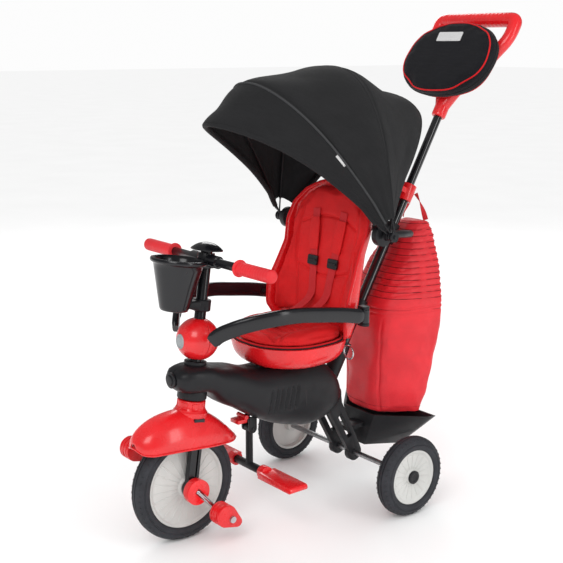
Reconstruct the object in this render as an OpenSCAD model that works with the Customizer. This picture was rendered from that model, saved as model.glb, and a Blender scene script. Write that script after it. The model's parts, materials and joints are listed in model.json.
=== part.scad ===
// Children's tricycle with a push handle, a sun canopy, a padded seat and a storage bag.
// +X is the rider's left, -Y is forward, +Z is up. The origin is on the ground at the
// middle of the overall length. Millimetres.

/* [Overall] */
// Distance between the front and rear axles
wheelbase = 457; // [430:1:480]
// Overall width over the rear wheels
overall_w = 465.5; // [440:0.5:500]
// Radius of the front wheel
front_r = 120; // [114:1:124]
// Radius of the rear wheels
rear_r = 90; // [84:1:94]
// Backward lean of the steering axis, in degrees
rake = 8.1; // [6:0.1:10]

/* [Wheels] */
// Width of the front tyre
front_tyre_w = 40; // [36:1:42]
// Radius of the front rim
front_rim_r = 91; // [84:1:96]
// Width of the rear tyres
rear_tyre_w = 38; // [34:1:42]
// Radius of the rear rims
rear_rim_r = 62; // [56:1:68]
// Radius of the rear axle rod
axle_r = 6; // [5:0.5:8]

/* [Front end] */
// Radius of the crank axle
crank_axle_r = 5; // [4:0.5:6]
// Length of each crank arm, axle to pedal
crank_len = 85; // [75:1:88]
// Angle of the left crank below the backward direction, in degrees
crank_angle = 47; // [0:1:90]
// Width of a pedal across the foot
pedal_w = 34; // [28:1:40]
// Radius of the steering column
column_r = 12; // [10:0.5:13]
// Thickness of each fork leg
fork_leg_t = 14; // [11:1:15]
// Radius of the round column cover
ball_r = 45; // [40:1:47]
// Height of the column cover's centre along the steering axis
ball_s = 312; // [308:1:318]
// Height of the handlebar along the steering axis
bar_s = 478; // [470:1:500]
// Overall width of the handlebar
bar_w = 450; // [400:1:480]
// Radius of the handlebar grips
grip_r = 13.5; // [12:0.5:16]
// Length of a grip
grip_len = 110; // [90:1:120]
// Radius of the cup holder's rim
cup_r = 55; // [48:1:57]
// Height of the cup holder
cup_h = 105; // [90:1:108]

/* [Body] */
// Wall of the body shells
body_wall = 3; // [2.5:0.5:4]
// Radius of the backbone tube
spine_r = 14; // [12:0.5:16]
// Half the distance between the axle carriers' middles
carrier_x = 28; // [25:1:32]
// Thickness of an axle carrier
carrier_t = 14; // [10:1:16]
// Length of a foot peg
peg_len = 115; // [95:1:120]

/* [Seat and guard] */
// Half width of the seat pan
seat_hw = 125; // [122:1:132]
// Height of the backrest's top
seat_top_z = 728; // [700:1:740]
// Lean of the backrest, in degrees
back_lean = 10; // [8:1:12]
// Distance of each guard arm from the middle
guard_x = 157; // [155:1:162]
// Height of a guard arm's section
guard_h = 32; // [26:1:34]
// Thickness of a guard arm's section
guard_t = 16; // [12:1:18]

/* [Handle] */
// Radius of the lower pole tube
pole_r = 12; // [11.5:0.5:13]
// Radius of the upper pole tube
inner_pole_r = 10; // [9:0.5:10]
// Half the distance between the push handle's corners
handle_hw = 135; // [120:1:145]
// Radius of the push handle's top bar
handle_r = 17; // [15:0.5:18]
// Half width of the pouch
pouch_hw = 138; // [120:1:142]
// Depth of the pouch
pouch_d = 40; // [34:1:42]

/* [Canopy] */
// Height of the canopy hinge
canopy_z = 628; // [615:1:635]
// Distance of each canopy hinge from the middle
canopy_x = 170; // [164:1:180]
// Radius of a canopy bow's rod
bow_r = 3; // [2.5:0.5:4]
// Reach of the front bow from the hinge
bow_front_reach = 407; // [380:1:415]
// Thickness of the canopy's cloth
cloth_t = 2; // [1.5:0.5:3]

/* [Hidden] */
$fn = 48;

// Radial clearance of a running fit, and the gap between pieces that only stand close
fit = 0.05;
gap = 0.5;
eps = 0.01;

// Colours
red = [0.86, 0.05, 0.07];
dark_red = [0.60, 0.02, 0.05];
black = [0.07, 0.07, 0.08];
charcoal = [0.13, 0.13, 0.14];
pale = [0.82, 0.82, 0.80];
steel = [0.62, 0.63, 0.65];

// Push handle: the pole leans back in the middle plane, and "along" runs up the pole
pole_lean = 29.9;
pole_foot = [0, -4, 357];
pole_dir = [0, sin(pole_lean), cos(pole_lean)];
sleeve_along = 92;
clamp_along = 376;
neck_along = 575;
top_along = 834;
pole_bottom_along = -104;
bar_y = pole_foot.y + top_along * pole_dir.y;

// The rear axle stands here, so that the origin is at the middle of the overall length
rear_y = (wheelbase + front_r - bar_y - handle_r) / 2;

// Wheels
rear_wheel_x = overall_w / 2 - rear_tyre_w / 2;

// Axle carriers: their arms' reach along Y, and their top above the axle
carrier_arm_y = [-76, -42];
carrier_top = 160;

// Steering column, measured from the front axle along the leaning steering axis
head_tube_r = 20;
low_flange_r = 31;
high_flange_r = 23.5;
crown_s = 134;
crown_h = 16;
collar_s = 184;
bush_low_s = 213;
bush_flange = bush_low_s - collar_s - 3;
bush_high_s = 240;
column_top_s = bar_s + 20;
stem_r = column_r + 6;
leg_in_x = front_tyre_w / 2 + 4;
leg_out_x = leg_in_x + fork_leg_t;
boss_r = 19;
hub_disc_r = 21;

// Pedals and clutch caps
cap_in_x = leg_out_x + 5;
cap_w = 17;
cap_r = 27;
arm_r = 4.8;
knuckle_r = 5.4;
arm_x = cap_in_x + cap_w - 4;
cap_slot_x = arm_x - knuckle_r - 4.6;
cap_slot_t = 2 * knuckle_r + 1.2;
spindle_r = 4.5;
pedal_in_x = arm_x + arm_r + 3;
pedal_pos = [crank_len * cos(crank_angle), -crank_len * sin(crank_angle)];

// Backbone and footrest
spine_a = [0, 55 - wheelbase, 342];
spine_b = [0, -72, 238];
foot_y = -282;
foot_pivot_z = 206;
foot_len = 88;
foot_tube_r = 8;
ear_in = 10;
ear_t = 5;
ear_rise = 27;

// Seat
pan_z = 347;
pan_rim_z = 396;
pan_y = [-296, -66];
// the shell leans, so its back edge dips below its foot
back_dip = 3;
back_foot = [0, -92, pan_rim_z + back_dip + gap];
back_h = (seat_top_z - back_foot.z) / cos(back_lean);
shell_t = 5;
pad_t = 16;

// Guard arm hinge
guard_pin = [guard_x, -88, 457];
guard_pin_r = 4;
guard_barrel_r = 9;
guard_gap = 0.6;

// Canopy hinge, and each bow's angle above the forward direction
canopy_y = -44;
bow_angles = [36, 53, 87, 130];
bow_reach = [bow_front_reach, 392, 345, 334];
bow_hw = [150, 168, 180, 138];
bow_scoop = [15, 6, 0, -4];
bow_shape = [2.0, 2.2, 2.5, 2.3];
hub_r = 24;

// ---- helpers ----

// Puts pieces that are measured from the ground point under the rear axle in place
module placed() {
    translate([0, rear_y, 0])
        children();
}

// Puts pieces that are measured along the steering axis in place
module steered() {
    placed()
        translate([0, -wheelbase, front_r])
            rotate([-rake, 0, 0])
                children();
}

// Puts pieces that are measured along the pole in place
module on_pole(along = 0) {
    placed()
        translate(pole_foot + along * pole_dir)
            rotate([-pole_lean, 0, 0])
                children();
}

module mirrored_pair() {
    children();
    mirror([1, 0, 0])
        children();
}

// A cylinder along X between two places
module x_rod(x0, x1, r) {
    translate([x0, 0, 0])
        rotate([0, 90, 0])
            cylinder(h = x1 - x0, r = r);
}

// A round rod between two points, with a ball at its far end when one is wanted
module rod(a, b, r, ball = false) {
    d = b - a;
    translate(a)
        rotate([0, acos(d.z / norm(d)), atan2(d.y, d.x)])
            cylinder(h = norm(d), r = r);
    if (ball)
        translate(b)
            sphere(r = r);
}

// Six times the volume inside a closed set of triangles, negative when they face inwards
function volume6(points, tris) = [for (t = tris)
    points[t[0]] * cross(points[t[1]], points[t[2]])] * [for (t = tris) 1];

// The two triangles between neighbouring points of neighbouring rings, all round a skin
function skin(n, m) = [for (j = [0 : m - 2], i = [0 : n - 1], half = [0, 1])
    let (k = (i + 1) % n)
    half == 0 ? [j * n + i, j * n + k, (j + 1) * n + k]
              : [j * n + i, (j + 1) * n + k, (j + 1) * n + i]];

// Faces run clockwise seen from outside
module closed_solid(rings, first, last) {
    points = [for (ring = rings, p = ring) p];
    faces = concat(skin(len(rings[0]), len(rings)), first, last);
    fans = [for (f = faces, i = [1 : len(f) - 2]) [f[0], f[i], f[i + 1]]];
    outward = volume6(points, fans) < 0 ? faces : [for (f = faces) flip(f)];
    polyhedron(points = points, faces = outward, convexity = 8);
}

// A solid skinned over closed rings of points that all have the same count
module loft(rings) {
    n = len(rings[0]);
    end = (len(rings) - 1) * n;
    closed_solid(rings, [[for (i = [n - 1 : -1 : 0]) i]], [[for (i = [0 : n - 1]) end + i]]);
}

// The same for thin rings, an outer line and back along an inner one, closed with quads
module loft_strip(rings) {
    n = len(rings[0]);
    end = (len(rings) - 1) * n;
    first = [for (i = [0 : n / 2 - 2], half = [0, 1])
        half == 0 ? [i + 1, i, n - 1 - i] : [i + 1, n - 1 - i, n - 2 - i]];
    last = [for (f = first) end * [1, 1, 1] + flip(f)];
    closed_solid(rings, first, last);
}

// Points of a round section of a bent tube, square to its line; "side" is any direction
// that the line never runs along
function tube_ring(line, k, r, sides, side) = let (
    n = len(line), d = line[min(k + 1, n - 1)] - line[max(k - 1, 0)],
    u = cross(d, side) / norm(cross(d, side)), v = cross(d, u) / norm(cross(d, u)))
    [for (q = [0 : sides - 1])
        line[k] + r * (cos(360 * q / sides) * u + sin(360 * q / sides) * v)];

module bent_tube(line, r, sides = 12, side = [0, 0, 1]) {
    loft([for (k = [0 : len(line) - 1]) tube_ring(line, k, r, sides, side)]);
}

function flip(list) = [for (i = [len(list) - 1 : -1 : 0]) list[i]];
function mix(a, b, t) = a + (b - a) * t;
function superellipse(a, hw, hh, n) =
    [hw * sign(cos(a)) * pow(abs(cos(a)), 2 / n), hh * sign(sin(a)) * pow(abs(sin(a)), 2 / n)];

// ---- body ----

// Stations of the body, front to back: share of its run, bottom, top, half width
body_tail_y = -44;
body_run = -wheelbase - body_tail_y;
body_stations = [
    [1.05085, 340, 364, 20], [1.02179, 326, 374, 36], [0.95884, 319, 379, 43], [0.87167, 316, 376, 47],
    [0.80872, 290, 368, 51], [0.69249, 263, 358, 56], [0.59564, 238, 345, 59], [0.47458, 213, 344, 60],
    [0.34625, 196, 344, 60], [0.23487, 187, 343, 58], [0.13075, 192, 330, 54], [0.04358, 210, 296, 46],
    [0, 224, 258, 32]];
body_steps = 8;

// One half section: out along the round outside from bottom to top, and back inside
function body_ring(station, wall) = let (
    y = body_tail_y + station[0] * body_run, z0 = station[1], z1 = station[2], hw = station[3],
    mid = (z0 + z1) / 2, hh = (z1 - z0) / 2,
    outer = [for (i = [0 : body_steps])
        let (p = superellipse(-90 + 180 * i / body_steps, hw, hh, 3.2)) [p.x, y, mid + p.y]],
    inner = [for (i = [0 : body_steps])
        let (p = superellipse(-90 + 180 * i / body_steps, hw - wall, hh - wall, 3.2))
        [p.x, y, mid + p.y]])
    concat(outer, flip(inner));

module body_half() {
    placed()
        difference() {
            loft_strip([for (s = body_stations) body_ring(s, body_wall)]);
            translate([0, -wheelbase, front_r])
                rotate([-rake, 0, 0]) {
                    translate([0, 0, bush_low_s - bush_flange - gap])
                        cylinder(h = bush_flange + 2 * gap, r = low_flange_r + gap);
                    translate([0, 0, bush_low_s])
                        cylinder(h = 2 * (bush_high_s - bush_low_s + 18), r = high_flange_r + gap);
                }
            translate(pole_foot)
                rotate([-pole_lean, 0, 0])
                    translate([0, 0, pole_bottom_along - 20])
                        cylinder(h = socket_len + 36, r = socket_r + gap);
            translate([carrier_x - carrier_t / 2 - gap, carrier_arm_y[0] - gap, rear_r + 60])
                cube([carrier_t + 2 * gap, carrier_arm_y[1] - carrier_arm_y[0] + 2 * gap,
                    carrier_top + gap - 60]);
            translate([ear_in - gap, foot_y - 10 - gap, foot_pivot_z])
                cube([ear_t + 2 * gap, 20 + 2 * gap, ear_rise + gap]);
        }
}

module body_shell_left() {
    color(black)
        body_half();
}

module body_shell_right() {
    color(black)
        mirror([1, 0, 0])
            body_half();
}

// Four screws that draw the shells together, with bosses reaching the middle
screw_places = [[105 - wheelbase, 300], [-262, 262], [-185, 226], [-112, 226]];
screw_r = 4;

module frame_screws() {
    color(steel)
        placed()
            for (p = screw_places)
                translate([0, p.x, p.y])
                    x_rod(-34, 34, screw_r);
}

// Round cap on the nose, in front of the shells
module nose_cap() {
    color(black)
        placed()
            translate([0, -wheelbase - 22, 352])
                rotate([90, 0, 0]) {
                    cylinder(h = 4, r = 17);
                    cylinder(h = 7, r = 11);
                }
}

// Steel tube that the column turns in
module head_tube() {
    color(steel)
        steered()
            translate([0, 0, bush_low_s])
                difference() {
                    cylinder(h = bush_high_s - bush_low_s + 18, r = head_tube_r);
                    translate([0, 0, -1])
                        cylinder(h = 80, r = head_tube_r - 3);
                }
}

// Plain bearings at the two ends of the head tube
module bush(low, flange, r_flange) {
    translate([0, 0, low])
        difference() {
            union() {
                cylinder(h = flange, r = r_flange);
                translate([0, 0, low == bush_low_s - bush_flange ? 0 : -8])
                    cylinder(h = flange + 8, r = head_tube_r - 3);
            }
            translate([0, 0, -20])
                cylinder(h = 60, r = column_r + fit);
        }
}

module head_bushes() {
    color(black)
        steered() {
            bush(bush_low_s - bush_flange, bush_flange, low_flange_r);
            bush(bush_high_s + 18, 8, high_flange_r);
        }
}

// Tube that runs through the body and joins the head tube to the axle carriers
module backbone_tube() {
    color(steel)
        placed()
            difference() {
                union() {
                    rod(spine_a, spine_b, spine_r);
                    translate([-carrier_x + carrier_t / 2, spine_b.y - 12, spine_b.z - 15])
                        cube([2 * carrier_x - carrier_t, 24, 30]);
                }
                translate([0, -wheelbase, front_r])
                    rotate([-rake, 0, 0])
                        translate([0, 0, bush_low_s - 14])
                            cylinder(h = 90, r = head_tube_r);
                translate([0, -wheelbase, front_r])
                    rotate([-rake, 0, 0])
                        cylinder(h = bush_low_s + gap, r = low_flange_r + gap);
                for (p = [screw_places[0], screw_places[1]])
                    translate([0, p.x, p.y])
                        x_rod(-2 * spine_r, 2 * spine_r, screw_r);
            }
}

// ---- rear axle ----

// Side outline of a carrier: a foot round the axle and an arm up into the body
module carrier_outline() {
    difference() {
        union() {
            circle(r = 20);
            polygon([[-19, 8], [-76, 112], [-76, 160], [-46, 160], [-42, 132], [17, 12]]);
        }
        polygon([[-22, 40], [-52, 96], [-46, 108], [-10, 44]]);
    }
}

module axle_carriers() {
    color(black)
        placed()
            for (side = [-1, 1])
                translate([side * carrier_x - carrier_t / 2, 0, rear_r])
                    rotate([90, 0, 90])
                        difference() {
                            linear_extrude(carrier_t)
                                carrier_outline();
                            translate([0, 0, -1])
                                cylinder(h = carrier_t + 2, r = axle_r);
                        }
}

module rear_axle() {
    color(steel)
        placed()
            translate([0, 0, rear_r])
                x_rod(-overall_w / 2 + 10, overall_w / 2 - 10, axle_r);
}

// ---- rear wheels ----

// Half section of a tyre: radius along X, width along Y
module tyre_section(r, rim, w) {
    shoulder = w * 0.3;
    hull_r = r - shoulder;
    union() {
        translate([rim, -w / 2])
            square([hull_r - rim, w]);
        translate([hull_r - eps, -w / 2 + shoulder])
            square([shoulder + eps, w - 2 * shoulder]);
        for (side = [-1, 1])
            translate([hull_r, side * (w / 2 - shoulder)])
                circle(r = shoulder);
    }
}

module tyre(r, rim, w) {
    rotate([0, 90, 0])
        rotate_extrude()
            tyre_section(r, rim, w);
}

// A dished disc with a bored hub and an edge that carries the tyre
module rim(r, w, bore, hub, out) {
    disc_t = 6;
    edge_w = w - 8;
    rotate([0, 90, 0])
        rotate_extrude()
            polygon([
                [bore, -w / 2], [hub, -w / 2], [hub, -disc_t / 2], [r - 6, -disc_t / 2],
                [r - 6, -edge_w / 2], [r, -edge_w / 2], [r, edge_w / 2],
                [r - 4, edge_w / 2], [r - 9, w / 2 - 8], [hub + 3, out - 5],
                [hub, out], [bore, out]]);
}

module rear_tyre() {
    tyre(rear_r, rear_rim_r, rear_tyre_w);
}

module rear_rim() {
    rim(rear_rim_r, rear_tyre_w, axle_r + fit, 15, rear_tyre_w / 2 - 7);
}

// Cap that covers the end of the axle
module rear_cap() {
    translate([rear_tyre_w / 2 - 7, 0, 0])
        difference() {
            x_rod(0, 5, 15);
            x_rod(-1, 2, axle_r + 1);
        }
}

module at_rear_wheel(side) {
    placed()
        translate([side * rear_wheel_x, 0, rear_r])
            rotate([0, 0, side > 0 ? 0 : 180])
                children();
}

module rear_tyre_left() {
    color(black)
        at_rear_wheel(1)
            rear_tyre();
}

module rear_rim_left() {
    color(pale)
        at_rear_wheel(1)
            rear_rim();
}

module rear_cap_left() {
    color(black)
        at_rear_wheel(1)
            rear_cap();
}

module rear_tyre_right() {
    color(black)
        at_rear_wheel(-1)
            rear_tyre();
}

module rear_rim_right() {
    color(pale)
        at_rear_wheel(-1)
            rear_rim();
}

module rear_cap_right() {
    color(black)
        at_rear_wheel(-1)
            rear_cap();
}

// ---- storage ----

tray_floor = [[-24, 40], [24, 40], [66, 112], [66, 124], [-66, 124], [-66, 112]];
tray_brim = [[-54, 42], [54, 42], [146, 134], [146, 152], [-146, 152], [-146, 134]];
tray_z = [96, 177];
tray_wall = 3;

function tray_ring(t, inset) = [for (i = [0 : 5])
    let (p = mix(tray_floor[i], tray_brim[i], t), c = [0, 96])
    let (d = p - c, k = (norm(d) - inset) / norm(d))
    [c.x + d.x * k, c.y + d.y * k, mix(tray_z[0], tray_z[1], t)]];

// Moulded tray behind the axle, with a tongue that the carriers hold
module storage_tray() {
    color(black)
        placed()
            union() {
                difference() {
                    loft([for (t = [0, 0.5, 1]) tray_ring(t, 0)]);
                    loft([for (t = [0.05, 0.5, 1.05]) tray_ring(t, 2 * tray_wall)]);
                }
                translate([-carrier_x + carrier_t / 2 + gap, -12, 140])
                    cube([2 * carrier_x - carrier_t - 2 * gap, 62, 10]);
            }
}

// Stations of the bag, bottom to top: height, front, back, half width in front and behind
bag_stations = [
    [179, 47, 146, 50, 138], [230, 48, 160, 56, 146], [300, 50, 180, 62, 150],
    [380, 52, 196, 68, 152], [437, 62, 212, 74, 150], [520, 112, 238, 82, 138],
    [600, 158, 262, 78, 118], [622, 172, 252, 70, 100]];
bag_round = 20;

function bag_ring(s) = [for (i = [0 : bag_round - 1])
    let (p = superellipse(360 * i / bag_round, 1, 1, 5), v = (p.y + 1) / 2)
    [p.x * mix(s[3], s[4], v), mix(s[1], s[2], v), s[0]]];

module storage_bag() {
    color(red)
        placed()
            loft([for (s = bag_stations) bag_ring(s)]);
}

// Two tabs that hang the bag from the clamp on the pole
module bag_straps() {
    color(red)
        placed()
            for (side = [-1, 1])
                hull() {
                    translate([side * 10, 208, 674])
                        cube([10, 4, 8], center = true);
                    translate([side * 46, 212, 626])
                        cube([16, 4, 6], center = true);
                }
}

// ---- seat ----

pan_round = 36;

function pan_plan(i, grow) = let (
    a = 360 * i / pan_round, c = (pan_y[0] + pan_y[1]) / 2, hl = (pan_y[1] - pan_y[0]) / 2,
    p = superellipse(a, seat_hw + grow, hl + grow, 3),
    nose = p.y < 0 ? 1 - 0.30 * pow(-p.y / (hl + grow), 2) : 1)
    [p.x * nose, c + p.y];

function pan_ring(z, grow) = [for (i = [0 : pan_round - 1])
    let (p = pan_plan(i, grow)) [p.x, p.y, z]];

// Moulded bucket under the cushion, with a lug for the pull ring
module seat_pan() {
    color(red)
        placed() {
            difference() {
                loft([pan_ring(pan_z, -26), pan_ring(pan_z + 22, -5), pan_ring(pan_rim_z, 0)]);
                loft([pan_ring(pan_z + 8, -30), pan_ring(pan_z + 24, -12),
                    pan_ring(pan_rim_z + 1, -7)]);
            }
            translate(ring_pos)
                difference() {
                    translate([-1.5, -16, -4.5])
                        cube([3, 20.5, 9]);
                    x_rod(-10, 10, ring_wire + 0.4);
                }
        }
}

seat_pad_top = 418;

// Cushion on the pan, trimmed to the inside of the back shell
module seat_pad() {
    color(red)
        difference() {
            placed()
                loft([pan_ring(pan_z + 8.5, -34), pan_ring(pan_z + 24, -14),
                    pan_ring(pan_rim_z, -9), pan_ring(seat_pad_top - 6, -10),
                    pan_ring(seat_pad_top, -20)]);
            leaning_back()
                loft_strip([for (t = [-0.05, 0, 0.10]) back_slot(t)]);
        }
}

// Stations up the backrest, as shares of its height: half width, depth of the wings
back_stations = [
    [0.00, 118, 40], [0.10, 136, 62], [0.25, 138, 66], [0.40, 132, 52], [0.55, 126, 40],
    [0.70, 134, 36], [0.82, 128, 28], [0.92, 102, 18], [0.98, 66, 10], [1.00, 40, 6]];
back_steps = 12;

// Half width and wing depth at a share of the height
function back_at(t) = [lookup(t, [for (s = back_stations) [s[0], s[1]]]),
    lookup(t, [for (s = back_stations) [s[0], s[2]]])];

// A curve from wing to wing round the back; "deep" sets it in front of the shell's outside
function back_curve(hw, wing, deep, t) = [for (i = [0 : back_steps])
    let (a = 180 * i / back_steps, p = superellipse(a, hw - deep, wing, 3.4))
    [p.x, p.y - wing - deep * (p.y / wing), t * back_h]];

function back_ring(t, d0, d1) = let (s = back_at(t))
    concat(back_curve(s[0], s[1], d0, t), flip(back_curve(s[0], s[1], d1, t)));

// What the back shell takes away from a cushion: its section with room round it, and all
// that would lie behind
behind = 60;
function back_slot(t) = let (s = back_at(t), wing = s[1] + 3)
    concat(back_curve(s[0], wing, -behind, t), flip(back_curve(s[0], wing, shell_t + gap, t)));

module leaning_back() {
    placed()
        translate(back_foot)
            rotate([-back_lean, 0, 0])
                translate([0, 20, 0])
                    children();
}

module seat_back() {
    color(red)
        leaning_back()
            loft_strip([for (s = back_stations) back_ring(s[0], 0, shell_t)]);
}

module back_pad() {
    color(red)
        leaning_back()
            loft_strip([for (s = back_stations)
                if (s[0] > 0.05 && s[0] < 0.99) back_ring(s[0], shell_t + 2 * gap, shell_t + pad_t)]);
}

// Shoulder straps with their buckles, in front of the back pad
strap_y = -31;

module harness() {
    color(dark_red)
        leaning_back()
            for (side = [-1, 1]) {
                hull() {
                    translate([side * 38, strap_y, 0.80 * back_h])
                        cube([26, 3, 4], center = true);
                    translate([side * 40, strap_y, 0.20 * back_h])
                        cube([26, 3, 4], center = true);
                }
                translate([side * 39, strap_y - 5, 0.58 * back_h])
                    cube([30, 6, 22], center = true);
            }
}

// Post between the legs that the harness clips to
module crotch_post() {
    color(black)
        placed()
            translate([0, -222, seat_pad_top + gap]) {
                cylinder(h = 20, r = 9);
                translate([-22, -9, 14])
                    cube([44, 18, 14]);
            }
}

// Wire pull that hangs in a lug at the back of the seat pan
ring_r = 15;
ring_wire = 1.8;
ring_pos = [86, pan_y[1] - 4, 372];

module pull_ring() {
    color(steel)
        placed()
            translate(ring_pos - [0, 0, ring_r])
                rotate([90, 0, 0])
                    rotate_extrude()
                        translate([ring_r, 0])
                            circle(r = ring_wire);
}

// ---- pole ----

socket_len = 104;
socket_r = pole_r + 6;

// Sleeve at the back of the body that the pole stands in, with a web down to the backbone
module pole_socket() {
    color(black)
        difference() {
            union() {
                on_pole(pole_bottom_along - 6)
                    cylinder(h = socket_len, r = socket_r);
                placed()
                    translate(pole_foot + [-8, -78, -104])
                        cube([16, 26, 34]);
            }
            on_pole(pole_bottom_along)
                cylinder(h = socket_len, r = pole_r);
            placed()
                rod(spine_a, spine_b, spine_r);
        }
}

slide_reach = 150;

module pole_lower() {
    color(black)
        on_pole()
            difference() {
                translate([0, 0, pole_bottom_along])
                    cylinder(h = clamp_along - pole_bottom_along, r = pole_r);
                translate([0, 0, clamp_along - slide_reach - 80])
                    cylinder(h = slide_reach + 81, r = inner_pole_r + fit);
            }
}

module pole_sleeve() {
    color(black)
        on_pole(sleeve_along)
            difference() {
                cylinder(h = 16, r = pole_r + 4, center = true);
                cylinder(h = 20, r = pole_r, center = true);
            }
}

clamp_h = 40;
lever_pin = [0, -pole_r - 11.5, 0];

// Collar that grips the upper tube, with ears for its lever
module pole_clamp() {
    color(red)
        on_pole(clamp_along)
            difference() {
                union() {
                    cylinder(h = clamp_h, r = pole_r + 6, center = true);
                    for (side = [-1, 1])
                        translate([side * 10 - 2.5, -pole_r - 16.5, -6])
                            cube([5, 16.5, 12]);
                }
                translate([0, 0, -clamp_h])
                    cylinder(h = clamp_h, r = pole_r);
                translate([0, 0, -eps])
                    cylinder(h = clamp_h, r = inner_pole_r + fit);
                translate(lever_pin)
                    x_rod(-20, 20, 2);
            }
}

module clamp_lever() {
    color(dark_red)
        on_pole(clamp_along)
            translate(lever_pin) {
                x_rod(-12.5, 12.5, 2 - fit);
                x_rod(-7, 7, 4);
                translate([-7, -5, -34])
                    cube([14, 4, 34]);
            }
}

module pole_upper() {
    color(black)
        on_pole(clamp_along - slide_reach)
            cylinder(h = neck_along + 30 - clamp_along + slide_reach, r = inner_pole_r);
}

// Y-shaped handle: a neck on the pole, two arms and a bar across the top
arm_spread = [[0, 0], [22, 40], [62, 92], [100, 150],
    [handle_hw - handle_r, top_along - neck_along - 50]];

module push_handle() {
    arm = [for (p = arm_spread) [p.x, 0, neck_along + 30 + p.y]];
    corner = [handle_hw - handle_r, 0, top_along];
    color(red)
        on_pole()
            difference() {
                union() {
                    translate([0, 0, neck_along])
                        cylinder(h = 56, r = handle_r);
                    mirrored_pair() {
                        bent_tube(concat(arm, [corner]), handle_r - 2, 12, [0, 1, 0]);
                        translate(corner)
                            sphere(r = handle_r);
                    }
                    translate([0, 0, top_along])
                        x_rod(-corner.x, corner.x, handle_r);
                }
                translate([0, 0, neck_along - 1])
                    cylinder(h = 31, r = inner_pole_r);
            }
}

pouch_hh = 98;
pouch_along = 707;
pouch_round = 40;

// Padded pouch that hangs in front of the handle's arms
module pouch() {
    color(charcoal)
        on_pole(pouch_along)
            translate([0, -handle_r - gap, 0])
                rotate([90, 0, 0])
                    linear_extrude(pouch_d)
                        polygon([for (i = [0 : pouch_round - 1])
                            superellipse(360 * i / pouch_round, pouch_hw, pouch_hh, 2.3)]);
}

// ---- guard ----

// The arm's middle line in plan and height, from the hinge to the latch end
guard_path = [
    [guard_x, guard_pin.y - 6, guard_pin.z], [guard_x - 1, -150, 469], [guard_x - 2, -215, 479],
    [guard_x - 3, -268, 486], [guard_x - 11, -322, 486], [guard_x - 30, -364, 479],
    [guard_x - 56, -396, 466], [guard_x - 80, -416, 450], [guard_x - 90, -424, 438]];

// Rounded upright section, thickness across the path and height along Z
function guard_ring(i, wide, high) = let (
    n = len(guard_path), a = guard_path[max(i - 1, 0)], b = guard_path[min(i + 1, n - 1)],
    d = [b.x - a.x, b.y - a.y], u = d / norm(d), c = guard_path[i])
    [for (k = [0 : 11])
        let (p = superellipse(360 * k / 12 + 15, wide / 2, high / 2, 4))
        [c.x - u.y * p.x, c.y + u.x * p.x, c.z + p.y]];

module guard_arm() {
    placed()
        difference() {
            union() {
                loft([for (i = [0 : len(guard_path) - 1]) guard_ring(i, guard_t, guard_h)]);
                translate([guard_pin.x, guard_pin.y, guard_pin.z - 15])
                    cylinder(h = 30, r = guard_barrel_r);
            }
            translate([guard_pin.x, guard_pin.y, guard_pin.z - 40])
                cylinder(h = 80, r = guard_pin_r + fit);
            translate([guard_pin.x, guard_pin.y, guard_pin.z + 15])
                cylinder(h = 20, r = guard_barrel_r + 2);
            translate([guard_pin.x, guard_pin.y, guard_pin.z - 35])
                cylinder(h = 20, r = guard_barrel_r + 2);
        }
}

module guard_left() {
    color(black)
        guard_arm();
}

module guard_right() {
    color(black)
        mirror([1, 0, 0])
            guard_arm();
}

// Ears on the backrest's sides, each with the pin that an arm turns on
module guard_brackets() {
    ear = 15 + guard_gap;
    color(black)
        placed()
            mirrored_pair()
                translate(guard_pin) {
                    cylinder(h = 2 * ear + 8, r = guard_pin_r, center = true);
                    for (top = [0, 1])
                        translate([0, 0, top == 1 ? ear : -ear - 6]) {
                            cylinder(h = 6, r = guard_barrel_r);
                            translate([-guard_barrel_r - 6, -guard_barrel_r, 0])
                                cube([guard_barrel_r + 6, 2 * guard_barrel_r, 6]);
                        }
                    translate([-guard_barrel_r - 6, -guard_barrel_r, -ear - 6])
                        cube([4, 2 * guard_barrel_r, 2 * ear + 12]);
                }
}

// ---- canopy ----

bracket_along = 272;
bracket_band_r = 8;

// Hoop from a clip on the pole round both sides of the backrest to the hinge hubs
module canopy_bracket() {
    clip = pole_foot + bracket_along * pole_dir;
    hub_in = canopy_x - 16;
    arm_x = pole_r + 2;
    reach = [hub_in - arm_x, canopy_y + hub_r - 8 - clip.y, canopy_z - clip.z];
    arm = [for (a = [0 : 10 : 90])
        [arm_x + reach.x * sin(a), clip.y + reach.y * (1 - cos(a)), clip.z + reach.z * a / 90]];
    color(black) {
        on_pole(bracket_along)
            difference() {
                cylinder(h = 46, r = pole_r + 5, center = true);
                cylinder(h = 50, r = pole_r, center = true);
            }
        placed()
            mirrored_pair()
                union() {
                    bent_tube(arm, bracket_band_r);
                    translate([0, canopy_y, canopy_z]) {
                        x_rod(hub_in - 4, canopy_x - 6, hub_r);
                        x_rod(hub_in, canopy_x + 10 + 3 * disc_pitch, hinge_pin_r);
                    }
                }
    }
}

hinge_pin_r = 4;
bow_disc_t = 4;

// The bow's line in its own turning plane: out from the hinge by "reach", across by X.
// It scoops out of the plane towards the sides by "scoop" degrees.
function bow_point(i, a) = let (
    p = superellipse(a, bow_hw[i], bow_reach[i], bow_shape[i]),
    low = max(0, 1 - p.y / (0.45 * bow_reach[i])),
    x = p.x + sign(p.x) * pow(low, 1.5) * (canopy_x + bow_x(i) - bow_hw[i]),
    turn = bow_angles[i] + bow_scoop[i] * pow(1 - p.y / bow_reach[i], 1)
        * min(1, p.y / (0.2 * bow_reach[i])))
    [x, canopy_y - p.y * cos(turn), canopy_z + p.y * sin(turn)];

// Each bow's disc on the hinge pin: rear, front, second and third, from the inside out,
// so that the bows pass inside each other as they fold
disc_pitch = bow_disc_t + 2.6;
function bow_x(i) = 5 + ((i + 1) % 4) * disc_pitch;

bow_steps = 22;

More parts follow.
